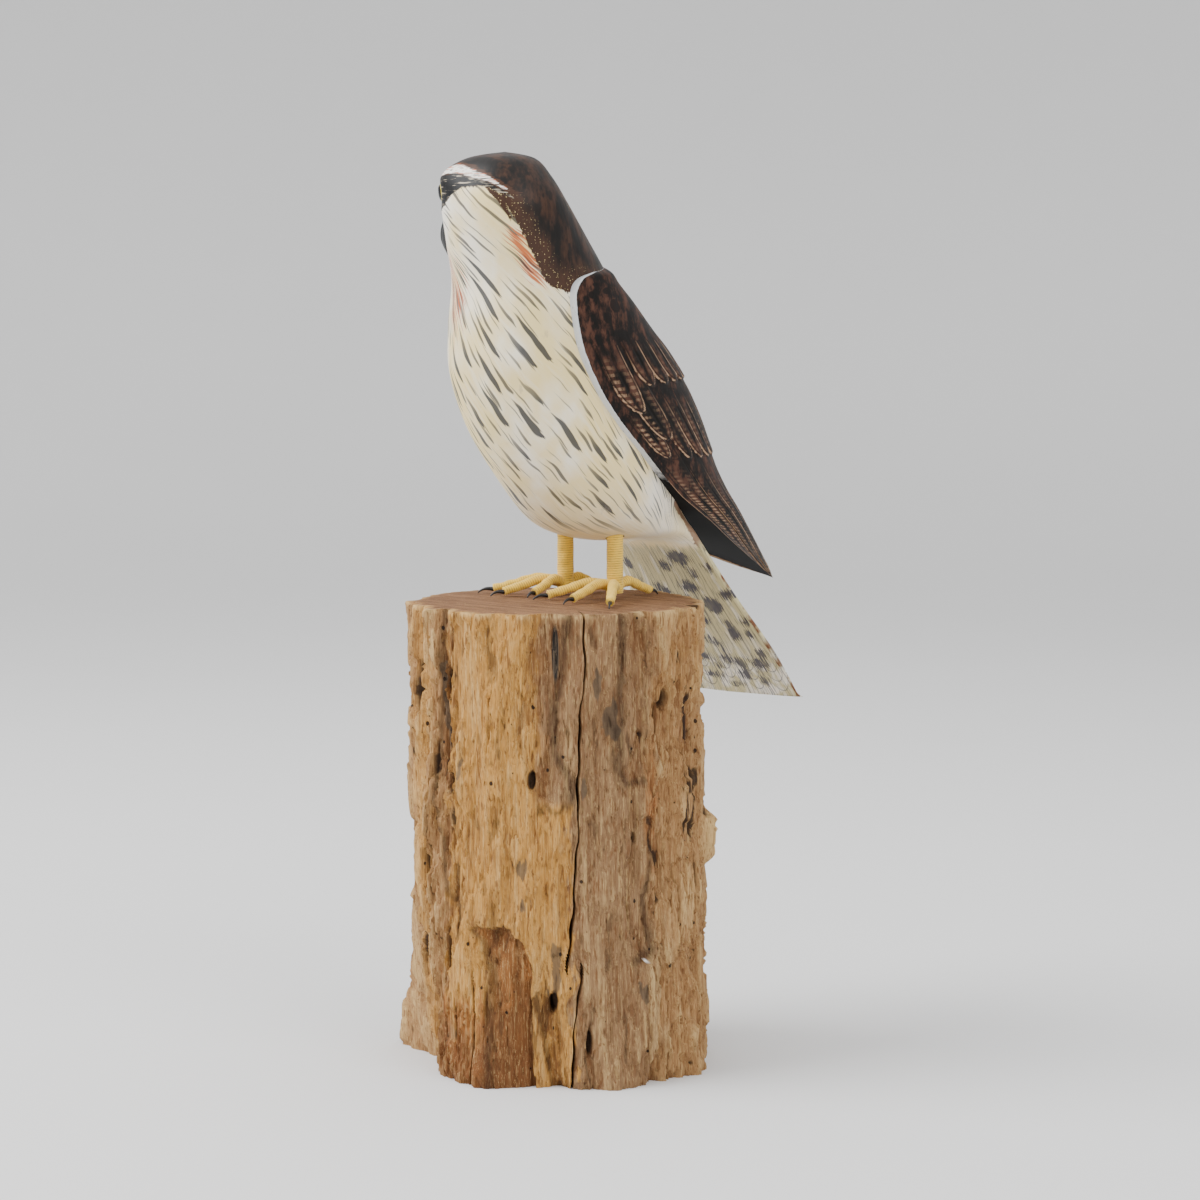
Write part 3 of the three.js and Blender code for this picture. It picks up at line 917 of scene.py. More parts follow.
def along_path(points, share):
    """Points and directions at shares of the way along a smooth path, evenly spaced."""
    fine = np.linspace(0, 1, 400)
    line = through(points, fine)
    travelled = np.concatenate([[0], np.cumsum(np.linalg.norm(np.diff(line, axis=0), axis=1))])
    places = np.interp(share * travelled[-1], travelled, fine)
    ahead = through(points, np.minimum(places + 0.004, 1))
    behind = through(points, np.maximum(places - 0.004, 0))
    return through(points, places), unit(ahead - behind), travelled[-1]


def rod_mesh(name, path, start_radius, end_radius, columns, rows=None, pitch=None):
    """A round tapering rod along a path, wound with yarn where a pitch is given."""
    _, _, length = along_path(path, np.array([0.0, 1.0]))
    if rows is None:
        rows = int(length / pitch * YARN_ROWS_A_WRAP)
    groove = {}

    def place(turn, share):
        along = np.clip((share * rows - 1) / (rows - 2), 0, 1)
        middle, tangent, _ = along_path(path, along)
        up = np.array([0, 1, 0]) if abs(tangent[0][2]) > 0.9 else np.array([0, 0, 1])
        side = unit(np.cross(tangent, up))
        rise = np.cross(side, tangent)
        radius = start_radius + (end_radius - start_radius) * along
        if pitch:
            wound = (along * length / pitch + turn / (2 * math.pi)) % 1
            ridge = np.sqrt(np.clip(1 - (2 * wound - 1) ** 2, 0, 1))
            groove["depth"] = 1 - ridge
            sway = 0.12 * np.sin(turn * 2 + along * 31) + 0.1 * np.sin(along * length * 0.9)
            radius = radius + yarn().ridge_height / MM * ridge + sway
        radius = np.where((share == 0) | (share == 1), 0, radius)
        return middle + side * (radius * np.cos(turn))[:, None] + rise * (radius * np.sin(turn))[:, None]

    mesh, _, _ = skin(name, columns, rows, place)
    if pitch:
        keep_values(mesh, "groove", groove["depth"])
    return mesh


def yarn():
    return bpy.context.scene.kestrel_yarn


def foot_path(ankle, tip, places, heights):
    """A line from the ankle to a claw's tip, at shares of the way and heights over the log."""
    start = np.array(ankle, float)
    end = np.array(tip, float)
    flat = [start + (end - start) * place for place in places]
    return [[x, y, LOG_HEIGHT + CLEARANCE + height] for (x, y), height in zip(flat, heights)]


def leg_mesh(name, leg):
    pitch = yarn().pitch / MM
    ankle = leg["ankle"]
    shank_path = [[*ankle, z] for z in (SHANK_FOOT_Z, 248, 261, SHANK_TOP_Z)]
    shank = rod_mesh(name, shank_path, SHANK_RADIUS, SHANK_RADIUS, SHANK_COLUMNS, pitch=pitch)
    toes = []
    for tip in leg["toes"].values():
        path = foot_path(ankle, tip, TOE_PLACES, TOE_HEIGHTS)
        toes.append(rod_mesh("toe", path, TOE_ROOT_RADIUS, TOE_END_RADIUS, TOE_COLUMNS, pitch=pitch))
    return combined(name, shank, toes)


def claw_mesh(name, ankle, tip):
    path = foot_path(ankle, tip, CLAW_PLACES, CLAW_HEIGHTS)
    return rod_mesh(name, path, CLAW_ROOT_RADIUS, CLAW_TIP_RADIUS, CLAW_COLUMNS, CLAW_ROWS)


# Shape of the log


def log_radius(angle, height):
    flare = (1 - height / LOG_HEIGHT) ** LOG_FLARE_POWER
    radius = np.full(len(angle), float(LOG_RADIUS))
    for middle, spread, reach, kept in LOG_LOBES:
        radius += reach * bell(degrees_apart(angle, middle), spread) * (kept + (1 - kept) * flare)
    for count, twist, reach in LOG_WAVES:
        radius += reach * np.sin(count * np.radians(angle) + twist * height)
    return radius


def crack_angle(height, line):
    """Angle of a crack's line at each height, a little wavy."""
    return read(line, height) + (0.25 * np.sin(height * 0.16) + 0.18 * np.sin(height * 0.36 + 1))


def on_log(angle, height, spot, raggedness=0):
    """1 at the middle of a spot, 0 at its edge, below 0 outside."""
    middle, level, half_width, half_height = spot[:4]
    aside = np.radians(degrees_apart(angle, middle)) * LOG_RADIUS / half_width
    return 1 - np.hypot(aside, (height - level) / half_height) - raggedness


def recess_share(angle, height, recess, raggedness):
    """How deep in a recess each place lies, between 0 and 1."""
    edge, side, reach, low, high, _ = recess
    inside = degrees_apart(angle, read(edge, height)) * side + raggedness
    share = smooth(inside, 0, 1.1) * smooth(reach - inside, 0, 0.7 * reach)
    share = share * smooth(high - height + 2 * raggedness, -1.5, 1.5)
    return share * smooth(height - low + 4 * raggedness, -8, 8)


def log_relief(angle, height):
    """How far the weathered side stands out or lies in, how much painted shade falls in its pits, cracks,
    hollows and recesses, and its roughness.
    """
    turn = np.radians(angle)
    x = LOG_RADIUS * np.cos(turn)
    y = LOG_RADIUS * np.sin(turn)
    flutes = rough(np.stack([x / 8, y / 8, height / 60], axis=1), 5)
    shelves = rough(np.stack([x / 13, y / 13, height / 38 + 9], axis=1), 5)
    flakes = rough(np.stack([x / 5, y / 5, height / 15 + 31], axis=1), 4)
    fibre = rough(np.stack([x / 1.6, y / 1.6, height / 26 + 77], axis=1), 3)
    rugged = smooth(np.abs(degrees_apart(angle, 305)), 28, 55)
    level = shelves * 1.5 + 0.35 * flakes
    terrace = smooth(level, -0.52, -0.42) + smooth(level, -0.02, 0.06) + smooth(level, 0.42, 0.5)
    relief = (1.1 + 1.1 * rugged) * flutes + (1.0 + 0.8 * rugged) * (terrace - 1.8)
    relief += (0.45 + 0.4 * rugged) * flakes + (0.25 + 0.2 * rugged) * fibre
    # Painted shade in the deepest pits between flakes and flutes, more on the rugged side
    crevice_shade = (0.45 + 0.4 * rugged) * smooth(-flakes - flutes, 0.45, 0.9)
    for recess in LOG_RECESSES:
        share = recess_share(angle, height, recess, 1.3 * flakes)
        relief -= recess[5] * share
        # Painted shadow in a band inside each recess
        crevice_shade = np.maximum(crevice_shade, 0.55 * bell(share - 0.45, 0.3) * smooth(share, 0.02, 0.2))
    for hollow in LOG_HOLLOWS:
        sunk = smooth(on_log(angle, height, hollow, 0.2 * flakes + 0.1 * fibre), 0, 0.5)
        relief -= hollow[4] * sunk
        # Painted shade in each hollow
        crevice_shade = np.maximum(crevice_shade, sunk)
    relief += SPLINTER[4] * smooth(on_log(angle, height, SPLINTER), 0, 0.5)
    for line, depth, half_width in LOG_CRACKS:
        beside = np.abs(np.radians(degrees_apart(angle, crack_angle(height, line)))) * LOG_RADIUS
        ends = smooth(np.minimum(height - line[0][0], line[-1][0] - height), 0, 7)
        width = half_width * (0.75 + 0.4 * np.sin(height / 17) * np.sin(height / 7.3)) * ends
        split = smooth(1 - beside / np.maximum(width, 0.25), 0, 0.8) * (ends > 0)
        relief -= depth * split
        # Painted shade in each crack
        crevice_shade = np.maximum(crevice_shade, split)
    return relief, np.clip(crevice_shade, 0, 1), flakes


def log_columns(turn):
    """Columns lie close together at the crack, and closer on the front of the log than behind it."""
    column = (turn / (2 * math.pi) + 0.5) % 1
    return np.degrees(np.interp(column, COLUMN_SHARES, COLUMN_PLACES) / LOG_RADIUS)


def log_mesh():
    rows = LOG_SIDE_ROWS + 2 * LOG_CAP_ROWS
    kept = {}

    def place(turn, share):
        row = np.rint(share * rows)
        on_top = np.clip(row / LOG_CAP_ROWS, 0, 1)
        on_bottom = np.clip((rows - row) / LOG_CAP_ROWS, 0, 1)
        down = np.clip((row - LOG_CAP_ROWS) / LOG_SIDE_ROWS, 0, 1)
        height = LOG_HEIGHT * (1 - down)
        angle = log_columns(turn) + crack_angle(height, CRACK_LINE)
        relief, crevice_shade, flakes = log_relief(angle, height)
        edge = bell(LOG_HEIGHT - height, LOG_RIM_ROUNDING) + bell(height, LOG_FOOT_ROUNDING)
        radius = log_radius(angle, height) + relief - 0.5 * edge
        inward = on_top**0.8 * on_bottom**0.8
        radius = radius * np.where(row <= LOG_CAP_ROWS, inward, np.where(down >= 1, inward, 1))
        x = radius * np.cos(np.radians(angle))
        y = radius * np.sin(np.radians(angle))
        chip = rough(np.stack([x / 14, y / 14, x * 0 + 5], axis=1), 3)
        worn = smooth(radius, LOG_RADIUS - 9, LOG_RADIUS + 2) * smooth(height, LOG_HEIGHT - 2, LOG_HEIGHT)
        side = np.where(down >= 1, on_bottom > 0.9, on_top >= 1)
        # Painted shade of the pits, cracks, hollows and recesses, kept for the material
        kept["crevice_shade"] = crevice_shade * side
        kept["relief"] = relief * side
        kept["top_face"] = np.where(row < LOG_CAP_ROWS, 1, 0)
        kept.update(log_stains(angle, height, flakes))
        return np.stack([x, y, height - worn * (0.5 + 1.1 * np.clip(chip, 0, 1))], axis=1)

    mesh, _, _ = skin("log_base", LOG_COLUMNS, rows, place)
    for name, values in kept.items():
        keep_values(mesh, name, values)
    return mesh


def log_stains(angle, height, flakes):
    """Where the log is golden, greyed, reddened or marked, between 0 and 1."""
    soft = 5 * flakes

    def past(edge, low, high):
        return smooth(degrees_apart(angle, edge) + soft, low, high)

    def before(edge, low, high):
        return smooth(degrees_apart(edge, angle) + soft, low, high)

    from_left = degrees_apart(angle, 262) + soft
    gold = smooth(from_left, -6, 4) * smooth(304 - 262 - from_left, -3, 5)
    gold = np.maximum(gold, 0.35 * past(351, -2, 2) * smooth(height, 176, 192))
    low_gold = past(292, 0, 8) * before(318, -2, 3) * smooth(150 - height, 0, 20)
    gold = np.maximum(gold, low_gold)
    red = recess_share(angle, height, LOG_RECESSES[0], 1.3 * flakes)
    gold = np.maximum(gold, 0.6 * bell(degrees_apart(angle, 243) + soft, 13))
    low = smooth(62 + 22 * flakes - height, 0, 40) * past(250, 0, 10)
    red = np.maximum(red, 0.75 * low * before(303, 0, 8))
    # Darker colour over the reddened part towards the log's foot
    darker_foot = red * smooth(44 + 20 * flakes - height, 0, 34)
    red = np.maximum(red, 0.7 * bell(degrees_apart(angle, 352) + soft, 5) * bell(height - 135, 45))
    grey = past(303, 0, 6) * before(366, 0, 25) * (1 - low_gold)
    grey = np.maximum(grey, 0.3 * bell(degrees_apart(angle, 240), 14))
    marks = [smooth(on_log(angle, height, mark, 1.1 * flakes), 0, 0.6) for mark in GREY_MARKS]
    return {
        "gold": gold,
        "reddened": red,
        "darker_foot": darker_foot,
        "greyed": grey * (1 - red),
        "grey_mark": np.max(marks, axis=0),
        "charred": smooth(on_log(angle, height, CHARRED_MARK, 0.08 * flakes), 0, 0.3),
        "fleck": smooth(on_log(angle, height, WHITE_FLECK), 0, 0.4),
        "rim": bell(LOG_HEIGHT - height - 1.2 + 1.5 * flakes, 1.5) * smooth(flakes, -0.3, 0.2),
    }


# Finishes


class Value:
    """A number, colour or place that a material works out, with sums that add nodes for themselves."""

    def __init__(self, finish, socket):
        self.finish = finish
        self.socket = socket

    def math(self, operation, *others):
        return self.finish.math(operation, self, *others)

    def __add__(self, other):
        return self.math("ADD", other)

    def __sub__(self, other):
        return self.math("SUBTRACT", other)

    def __rsub__(self, other):
        return self.finish.math("SUBTRACT", other, self)

    def __mul__(self, other):
        return self.math("MULTIPLY", other)

    def __truediv__(self, other):
        return self.math("DIVIDE", other)

    def __pow__(self, other):
        return self.math("POWER", other)

    def __abs__(self):
        return self.math("ABSOLUTE")

    def floor(self):
        return self.math("FLOOR")

    def least(self, other):
        return self.math("MINIMUM", other)

    def most(self, other):
        return self.math("MAXIMUM", other)

    def waves(self, half_length):
        """Rises and falls evenly between 0 and the half length."""
        return self.math("PINGPONG", half_length)

    def centred(self, size):
        """Values about a half turned into values about zero, of the given size."""
        return (self - 0.5) * size

    def step(self, low, high):
        """0 below low, 1 above high, and a soft step between."""
        inputs = {"Value": self, "From Min": low, "From Max": high}
        return self.finish.value("MapRange", "Result", inputs, interpolation_type="SMOOTHSTEP")


class Finish:
    """Builds one material. Inputs may be values, numbers or colours."""

    def __init__(self, name):
        self.material = bpy.data.materials.new(name)
        self.material.use_nodes = True
        self.nodes = self.material.node_tree.nodes
        self.links = self.material.node_tree.links
        self.shader = self.nodes["Principled BSDF"]

    def put(self, socket, value):
        if isinstance(value, Value):
            self.links.new(value.socket, socket)
        elif value is not None:
            socket.default_value = value

    def node(self, kind, inputs=(), **choices):
        """A new node with its choices made and its inputs filled, each by name or number."""
        node = self.nodes.new("ShaderNode" + kind)
        for name, choice in choices.items():
            setattr(node, name, choice)
        for name, value in dict(inputs).items():
            self.put(node.inputs[name], value)
        return node

    def value(self, kind, output, inputs=(), **choices):
        return Value(self, self.node(kind, inputs, **choices).outputs[output])

    def math(self, operation, *values):
        return self.value("Math", 0, enumerate(values), operation=operation)

    def place(self, size=(1, 1, 1)):
        """Place on the object in millimetres, each axis divided by its size."""
        inputs = {"Vector": self.value("TexCoord", "Object"), "Scale": [1 / (MM * s) for s in size]}
        return self.value("Mapping", "Vector", inputs)

    def guide(self, name):
        """One of the numbers kept at each point of the mesh."""
        return self.value("Attribute", "Fac", attribute_name=name)

    def vector(self, x, y, z=0.0):
        return self.value("CombineXYZ", 0, enumerate((x, y, z)))

    def split(self, vector):
        return [Value(self, output) for output in self.node("SeparateXYZ", {0: vector}).outputs]

    def height(self):
        return self.split(self.place())[2]

    def noise(self, place, detail=3.0, roughness=0.55, distortion=0.0):
        """Even noise between 0 and 1, over a place or with patches of a size in millimetres."""
        place = place if isinstance(place, Value) else self.place(place)
        inputs = {"Vector": place, "Scale": 1, "Detail": detail, "Roughness": roughness}
        inputs["Distortion"] = distortion
        return self.value("TexNoise", "Fac", inputs)

    def cells(self, size):
        """Distance from the middle of the nearest cell, and three random numbers that belong to it."""
        node = self.node("TexVoronoi", {"Vector": self.place(size), "Scale": 1})
        return [Value(self, node.outputs["Distance"]), *self.split(Value(self, node.outputs["Color"]))]

    def chances(self, x, y, seed):
        """Three even random numbers that belong to a pair of whole numbers."""
        return self.split(self.value("TexWhiteNoise", "Color", {"Vector": self.vector(x, y, seed)}))

    def mix(self, ground, paint, amount):
        return self.value("Mix", 2, {0: amount, 6: ground, 7: paint}, data_type="RGBA")

    def over(self, color, *layers):
        """The colour with layers over it, each a paint and how strongly it covers."""
        for paint, amount in layers:
            color = self.mix(color, paint, amount)
        return color

    def bump(self, height, distance, strength, under=None):
        inputs = {"Height": height, "Distance": distance * MM, "Strength": strength, "Normal": under}
        return self.value("Bump", "Normal", inputs)

    def finished(self, color, roughness, normal=None, **constants):
        constants.update(Base_Color=color, Roughness=roughness, Normal=normal)
        for name, value in constants.items():
            self.put(self.shader.inputs[name.replace("_", " ")], value)
        return self.material


def brush_strokes(finish, across, along, cell, length, half_width, seed, kept=0.85, ragged=0.35):
    """Spindle strokes in a staggered lattice, one in most cells: pointed above, widest and ragged below.

    across and along are in millimetres. Gives how strongly each place is painted.
    """
    cell_across, cell_along = cell
    columns = across * (1 / cell_across)
    column = columns.floor()
    rows = along * (1 / cell_along) + finish.chances(column, seed, 4.0)[0]
    row = rows.floor()
    chance = finish.chances(column, row, seed)
    size = chance[1] * 0.38 + 0.62
    reach = size * (length / cell_along)
    way = (rows - row - (1.0 - reach) * chance[2]) / reach
    lean = chance[2].centred(0.16) * way.centred(1.0)
    aside = (columns - column - (chance[0].centred(0.4) + 0.5) + lean) * cell_across
    bristle = finish.noise(finish.vector(across * 2.2, along * 0.06, seed), 2.0)
    torn = way + bristle.centred(ragged)
    width = torn.most(0.0) ** 1.1 * (1.0 - torn).most(0.0) ** 0.6 * (1.9 * half_width) * size
    stroke = (width - abs(aside)).step(-0.08, 0.28)
    dense = way * 0.45 + (chance[1] * 0.35 + 0.52)
    return stroke * chance[0].step(1 - kept, 1.01 - kept) * dense.least(1.0)


def breast_paint(bird):
    finish = Finish("painted_breast")
    way = finish.guide("stream_way")
    tail_way = finish.guide("tail_way")
    rust = finish.guide("rust")
    height = finish.height()
    across = finish.guide("stream_across") + finish.noise((24, 24, 34), 2.0).centred(5.0)

    def hairs(squeeze, stretch, seed):
        return finish.noise(finish.vector(across * squeeze, way * stretch, seed))

    def strokes(shifted, *sizes):
        return brush_strokes(finish, shifted, way, *sizes)

    wide = strokes(across, (7.6, 28.0), 25.0, 2.1, 3.0, 0.92)
    wide = wide.most(strokes(across + 4.2, (7.6, 23.0), 19.0, 1.3, 21.0) * 0.9)
    slim = strokes(across + 2.7, (4.9, 23.0), 20.0, 0.62, 8.0, 0.85, 0.2)
    low_lines = strokes(across + 2.0, (4.1, 22.0), 17.0, 0.42, 12.0, 0.6, 0.2)
    throat = strokes(across, (5.2, 24.0), 22.0, 1.05, 5.0, 0.97, 0.15)
    tail_lines = strokes(finish.guide("tail_across") * 34.0, (2.6, 19.0), 17.0, 0.32, 17.0, 0.75, 0.2)
    drawn = wide.most(slim * 0.85) * (way.step(34.0, 52.0) * height.step(260.0, 278.0))
    drawn = drawn.most(throat * 0.95 * (way.step(66.0, 46.0) * way.step(7.0, 14.0)))
    drawn = drawn.most(low_lines * 0.5 * (height.step(300.0, 285.0) * height.step(258.0, 266.0)))

    white = finish.noise((26, 26, 40)) + way.step(75.0, 25.0) * 0.3
    rusty = (hairs(1.3, 0.05, 7.0) + rust * 0.27).step(0.6, 0.74) * 0.95
    smudges = finish.noise((7, 7, 11), 4.0, 0.7).step(0.64, 0.74)
    scuffed = finish.guide("scuff") + finish.noise((1.5, 1.5, 3), 4.0).centred(1.1)
    color = finish.over(
        bird.cream,
        (bird.white, white.step(0.42, 0.78) * 0.85),
        # Greyer towards the bottom of the belly: painted shade under the body
        (bird.belly, height.step(310.0, 264.0) * tail_way.step(6.0, -6.0) * 0.5),
        (bird.white, hairs(0.5, 0.04, 2.0).step(0.5, 0.72) * 0.3),
        (bird.rust, rusty * rust.step(0.03, 0.25)),
        (bird.streak, drawn * 0.92),
        (bird.smudge, smudges * height.step(425.0, 410.0) * 0.3),
        (bird.streak, tail_lines * (tail_way.step(-17.0, -6.0) * height.step(272.0, 262.0)) * 0.8),
        (bird.bare, scuffed.step(0.45, 0.6) * 0.85),
    )
    for part in (tail_paint, cape_paint, face_paint):
        color = part(finish, bird, color)
    gloss = finish.guide("eye").step(EYE_RADIUS + 0.2, EYE_RADIUS - 0.2)
    roughness = (finish.noise((3, 3, 9), 4.0).centred(0.25) + 0.46) * (1.0 - gloss * 0.7)
    brushed = finish.bump(finish.noise((1.6, 1.6, 7)), 0.1, 0.5)
    carved = finish.bump(finish.noise((12, 12, 16), 2.0), 0.8, 0.35, brushed)
    return finish.finished(color, roughness, carved, Specular_IOR_Level=0.28)


def tail_paint(finish, bird, color):
    way = finish.guide("tail_way")
    across = finish.guide("tail_across")

    def lengthwise(squeeze, stretch, seed, detail=3.0):
        return finish.noise(finish.vector(across * squeeze, way * stretch, seed), detail)

    border = lengthwise(30.0, 0.1, 3.0)
    fibres = lengthwise(60.0, 0.08, 0.0, 2.0)
    soft = lengthwise(7.0, 0.09, 5.0)
    feather = across * 2.9
    from_shaft = abs(feather - feather.floor() - 0.5)
    pale = (from_shaft + fibres.centred(0.2)).step(0.13, 0.05) * 0.6 * soft.step(0.4, 0.55)
    pale = pale.most(way.step(60.0, 100.0) * soft.step(0.42, 0.6))
    in_blot = finish.guide("tail_blotch") + (fibres.centred(13.0) + 0.6)
    blots = in_blot.step(0.0, 0.4) * (soft * 0.6 + 0.62)
    hairlines = abs(lengthwise(34.0, 0.012, 9.0, 1.0) - 0.5).step(0.018, 0.008)
    barbs = (across * 15.0 + lengthwise(2.0, 0.03, 1.0, 2.0).centred(3.0)).waves(0.5)
    marks = [
        fibres.step(0.56, 0.7) * 0.25,
        blots.least(0.95),
        hairlines * 0.7,
        barbs.step(0.09, 0.03) * soft.step(0.42, 0.54) * 0.6,
        from_shaft.step(0.475, 0.49) * way.step(12.0, 25.0) * 0.6,
    ]
    for start in TAIL_END_LINES:
        marks.append(abs(way + from_shaft * from_shaft * 46.0 - start).step(0.5, 0.15) * 0.65)
    ground = finish.mix(bird.tail, bird.white, pale * 0.8)
    for mark in marks:
        ground = finish.mix(ground, bird.blotch, mark)
    worn = (abs(across) + border.centred(0.04)).step(0.99, 0.998) * soft.step(0.6, 0.4)
    ground = finish.mix(ground, bird.bare, worn)
    return finish.mix(color, ground, (way + border.centred(16.0)).step(2.0, 9.0))


def cape_paint(finish, bird, color):
    edge = finish.guide("cream")
    wander = finish.noise((1.8, 1.8, 3), 4.0, 0.6)
    moustache = finish.guide("moustache") + wander.centred(3.0)
    on_cape = (edge + wander.centred(5.0)).step(0.6, -0.3).most(moustache.step(-0.4, 0.3))
    patches = finish.noise((8, 8, 15), 3.0, 0.6) + finish.noise((1.4, 1.4, 9)).centred(0.35)
    blots = finish.noise((5, 5, 10), 2.0)
    near_edge = edge.step(-15.0, -4.0) * finish.height().step(438.0, 430.0)
    near_edge = near_edge.most(moustache.step(-1.0, 0.0))
    distance, dot_size, _, _ = finish.cells((0.85, 0.85, 1.0))
    speckle = (dot_size * 0.3 - distance).step(-0.02, 0.05)
    brown = finish.over(
        bird.dark,
        (bird.brown, patches.step(0.4, 0.72) * 0.85),
        (bird.dark, blots.step(0.56, 0.64) * 0.8),
        (bird.brown, near_edge * 0.75),
        (bird.cream, speckle * near_edge * 0.8),
    )
    return finish.mix(color, brown, on_cape)


def face_paint(finish, bird, color):
    hairs = finish.noise((8, 8, 0.75))
    ragged = hairs.centred(4.5)
    brow = finish.guide("brow") + ragged
    stripe = finish.over(
        bird.white, (bird.rust, hairs.step(0.54, 0.6)), (bird.dark, hairs.step(0.42, 0.37))
    )
    patch = finish.guide("eye_patch") + ragged * 0.55
    smoky = finish.mix(bird.black, bird.belly, hairs.step(0.55, 0.68) * 0.75)
    eye = finish.guide("eye")
    return finish.over(
        color,
        (bird.brown, brow.step(-1.9, -1.1)),
        (stripe, brow.step(-0.2, 0.5)),
        (smoky, patch.step(-0.3, 0.5)),
        (bird.eye_ring, eye.step(EYE_RADIUS + 1.0, EYE_RADIUS + 0.8)),
        (bird.black, eye.step(EYE_RADIUS + 0.1, EYE_RADIUS - 0.1)),
    )


def wing_paint(bird):
    finish = Finish("painted_wings")
    edge, side, way, tint, row = [finish.guide("feather_" + name) for name in FEATHER_GUIDES]
    across = finish.guide("wing_across")
    along = finish.guide("wing_along")
    clouds = finish.noise((7, 7, 9), 4.0, 0.65)
    fine = finish.noise((2, 2, 5), 4.0, 0.6)
    cloudy = clouds + fine.centred(0.4) + across.step(26.0, 8.0) * 0.05

    beside = abs(side)
    on_feather = row.step(0.5, 0.9) * way.step(0.1, 0.5)
    outer = beside + fine.centred(0.5) + tint.centred(0.4) + clouds.centred(2.2) + way.step(0.4, 1.0) * 0.35
    bars = ((along + fine.centred(1.6)) * (1 / 2.9)).waves(0.5)
    barred = bars.step(0.2, 0.34) * beside.step(0.1, 0.6) * along.step(92.0, 112.0)
    barred = barred * ((across.step(30.0, 12.0) * 0.6 + 0.2) * (fine + clouds).step(0.75, 1.05))
    pale = edge.step(0.75, 0.3) * way.step(0.12, 0.5) * finish.noise((4, 4, 7), 2.0).step(0.35, 0.5)
    color = finish.over(
        bird.dark,
        (bird.wing_rust, cloudy.step(0.43, 0.7) * 0.95),
        (finish.mix(bird.dark, bird.wing_rust, outer.step(0.25, 1.0) * 0.9), on_feather),
        (bird.bar, barred * on_feather),
        (bird.bar, pale * 0.9),
        # Painted shadow: a dark band beside each feather's pale edge, where the feather over it would cast
        # shade
        (bird.dark, edge.step(2.8, 1.2) * edge.step(0.5, 0.9) * 0.8),
    )
    for spot_across, spot_along, radius in WING_SPOTS:
        offset = finish.vector(across - spot_across, along - spot_along)
        away = finish.value("VectorMath", "Value", {0: offset}, operation="LENGTH") + fine.centred(1.5)
        color = finish.mix(color, bird.dark, away.step(radius, radius - 0.9) * 0.9)

    inside = along.math("MULTIPLY_ADD", -0.018, 2.9) - across + fine.centred(1.6)
    white = finish.mix(bird.band, bird.streak, fine.step(0.62, 0.72) * 0.5)
    bare = across.step(0.8, 0.3) * along.step(158.0, 166.0) * 0.75
    color = finish.over(color, (white, inside.step(0.0, 0.5)), (bird.bar, bare))
    roughness = fine.centred(0.25) + 0.52
    return finish.finished(color, roughness, finish.bump(fine, 0.1, 0.5), Specular_IOR_Level=0.14)


def underside_paint(bird):
    finish = Finish("painted_underside")
    fine = finish.noise((2, 2, 5), 4.0, 0.6)
    white = finish.mix(bird.band, bird.streak, fine.step(0.6, 0.72) * 0.5)
    color = finish.mix(white, bird.black, (finish.height() + fine.centred(14.0)).step(300.0, 291.0))
    return finish.finished(color, 0.85, finish.bump(fine, 0.1, 0.5), Specular_IOR_Level=0.14)


def bill_paint(bird):
    finish = Finish("painted_bill")
    way = finish.guide("bill_way") + finish.noise((3, 3, 3)).centred(0.08)
    color = finish.mix(bird.bill, bird.black, way.step(0.5, 0.6))
    return finish.finished(color, 0.3, Coat_Weight=0.3, Coat_Roughness=0.2)


def socket_wood(bird):
    finish = Finish("bored_wood")
    return finish.finished(finish.mix(bird.dark, bird.wing_rust, finish.noise((1.5, 1.5, 4))), 0.8)


def yarn_finish(paints):
    finish = Finish("yellow_yarn")
    fibres = finish.noise((0.35, 0.35, 0.35))
    color = finish.over(
        paints.color,
        # Painted shade in the grooves between the wraps
        (paints.shade, finish.guide("groove").step(0.1, 0.7)),
        (paints.dust, finish.noise((6, 6, 6)).step(0.55, 0.75) * 0.2),
        (paints.light, fibres.step(0.5, 0.8) * 0.3),
    )
    fuzz = finish.bump(fibres, 0.12, 0.7)
    return finish.finished(color, 0.85, fuzz, Sheen_Weight=0.35, Sheen_Roughness=0.5)


def claw_finish(color):
    finish = Finish("black_claw")
    wear = finish.noise((1.2, 1.2, 1.2))
    worn = finish.mix(color, srgb(0x5A5550), wear.step(0.6, 0.72) * 0.5)
    return finish.finished(worn, 0.38, finish.bump(wear, 0.08, 0.4))


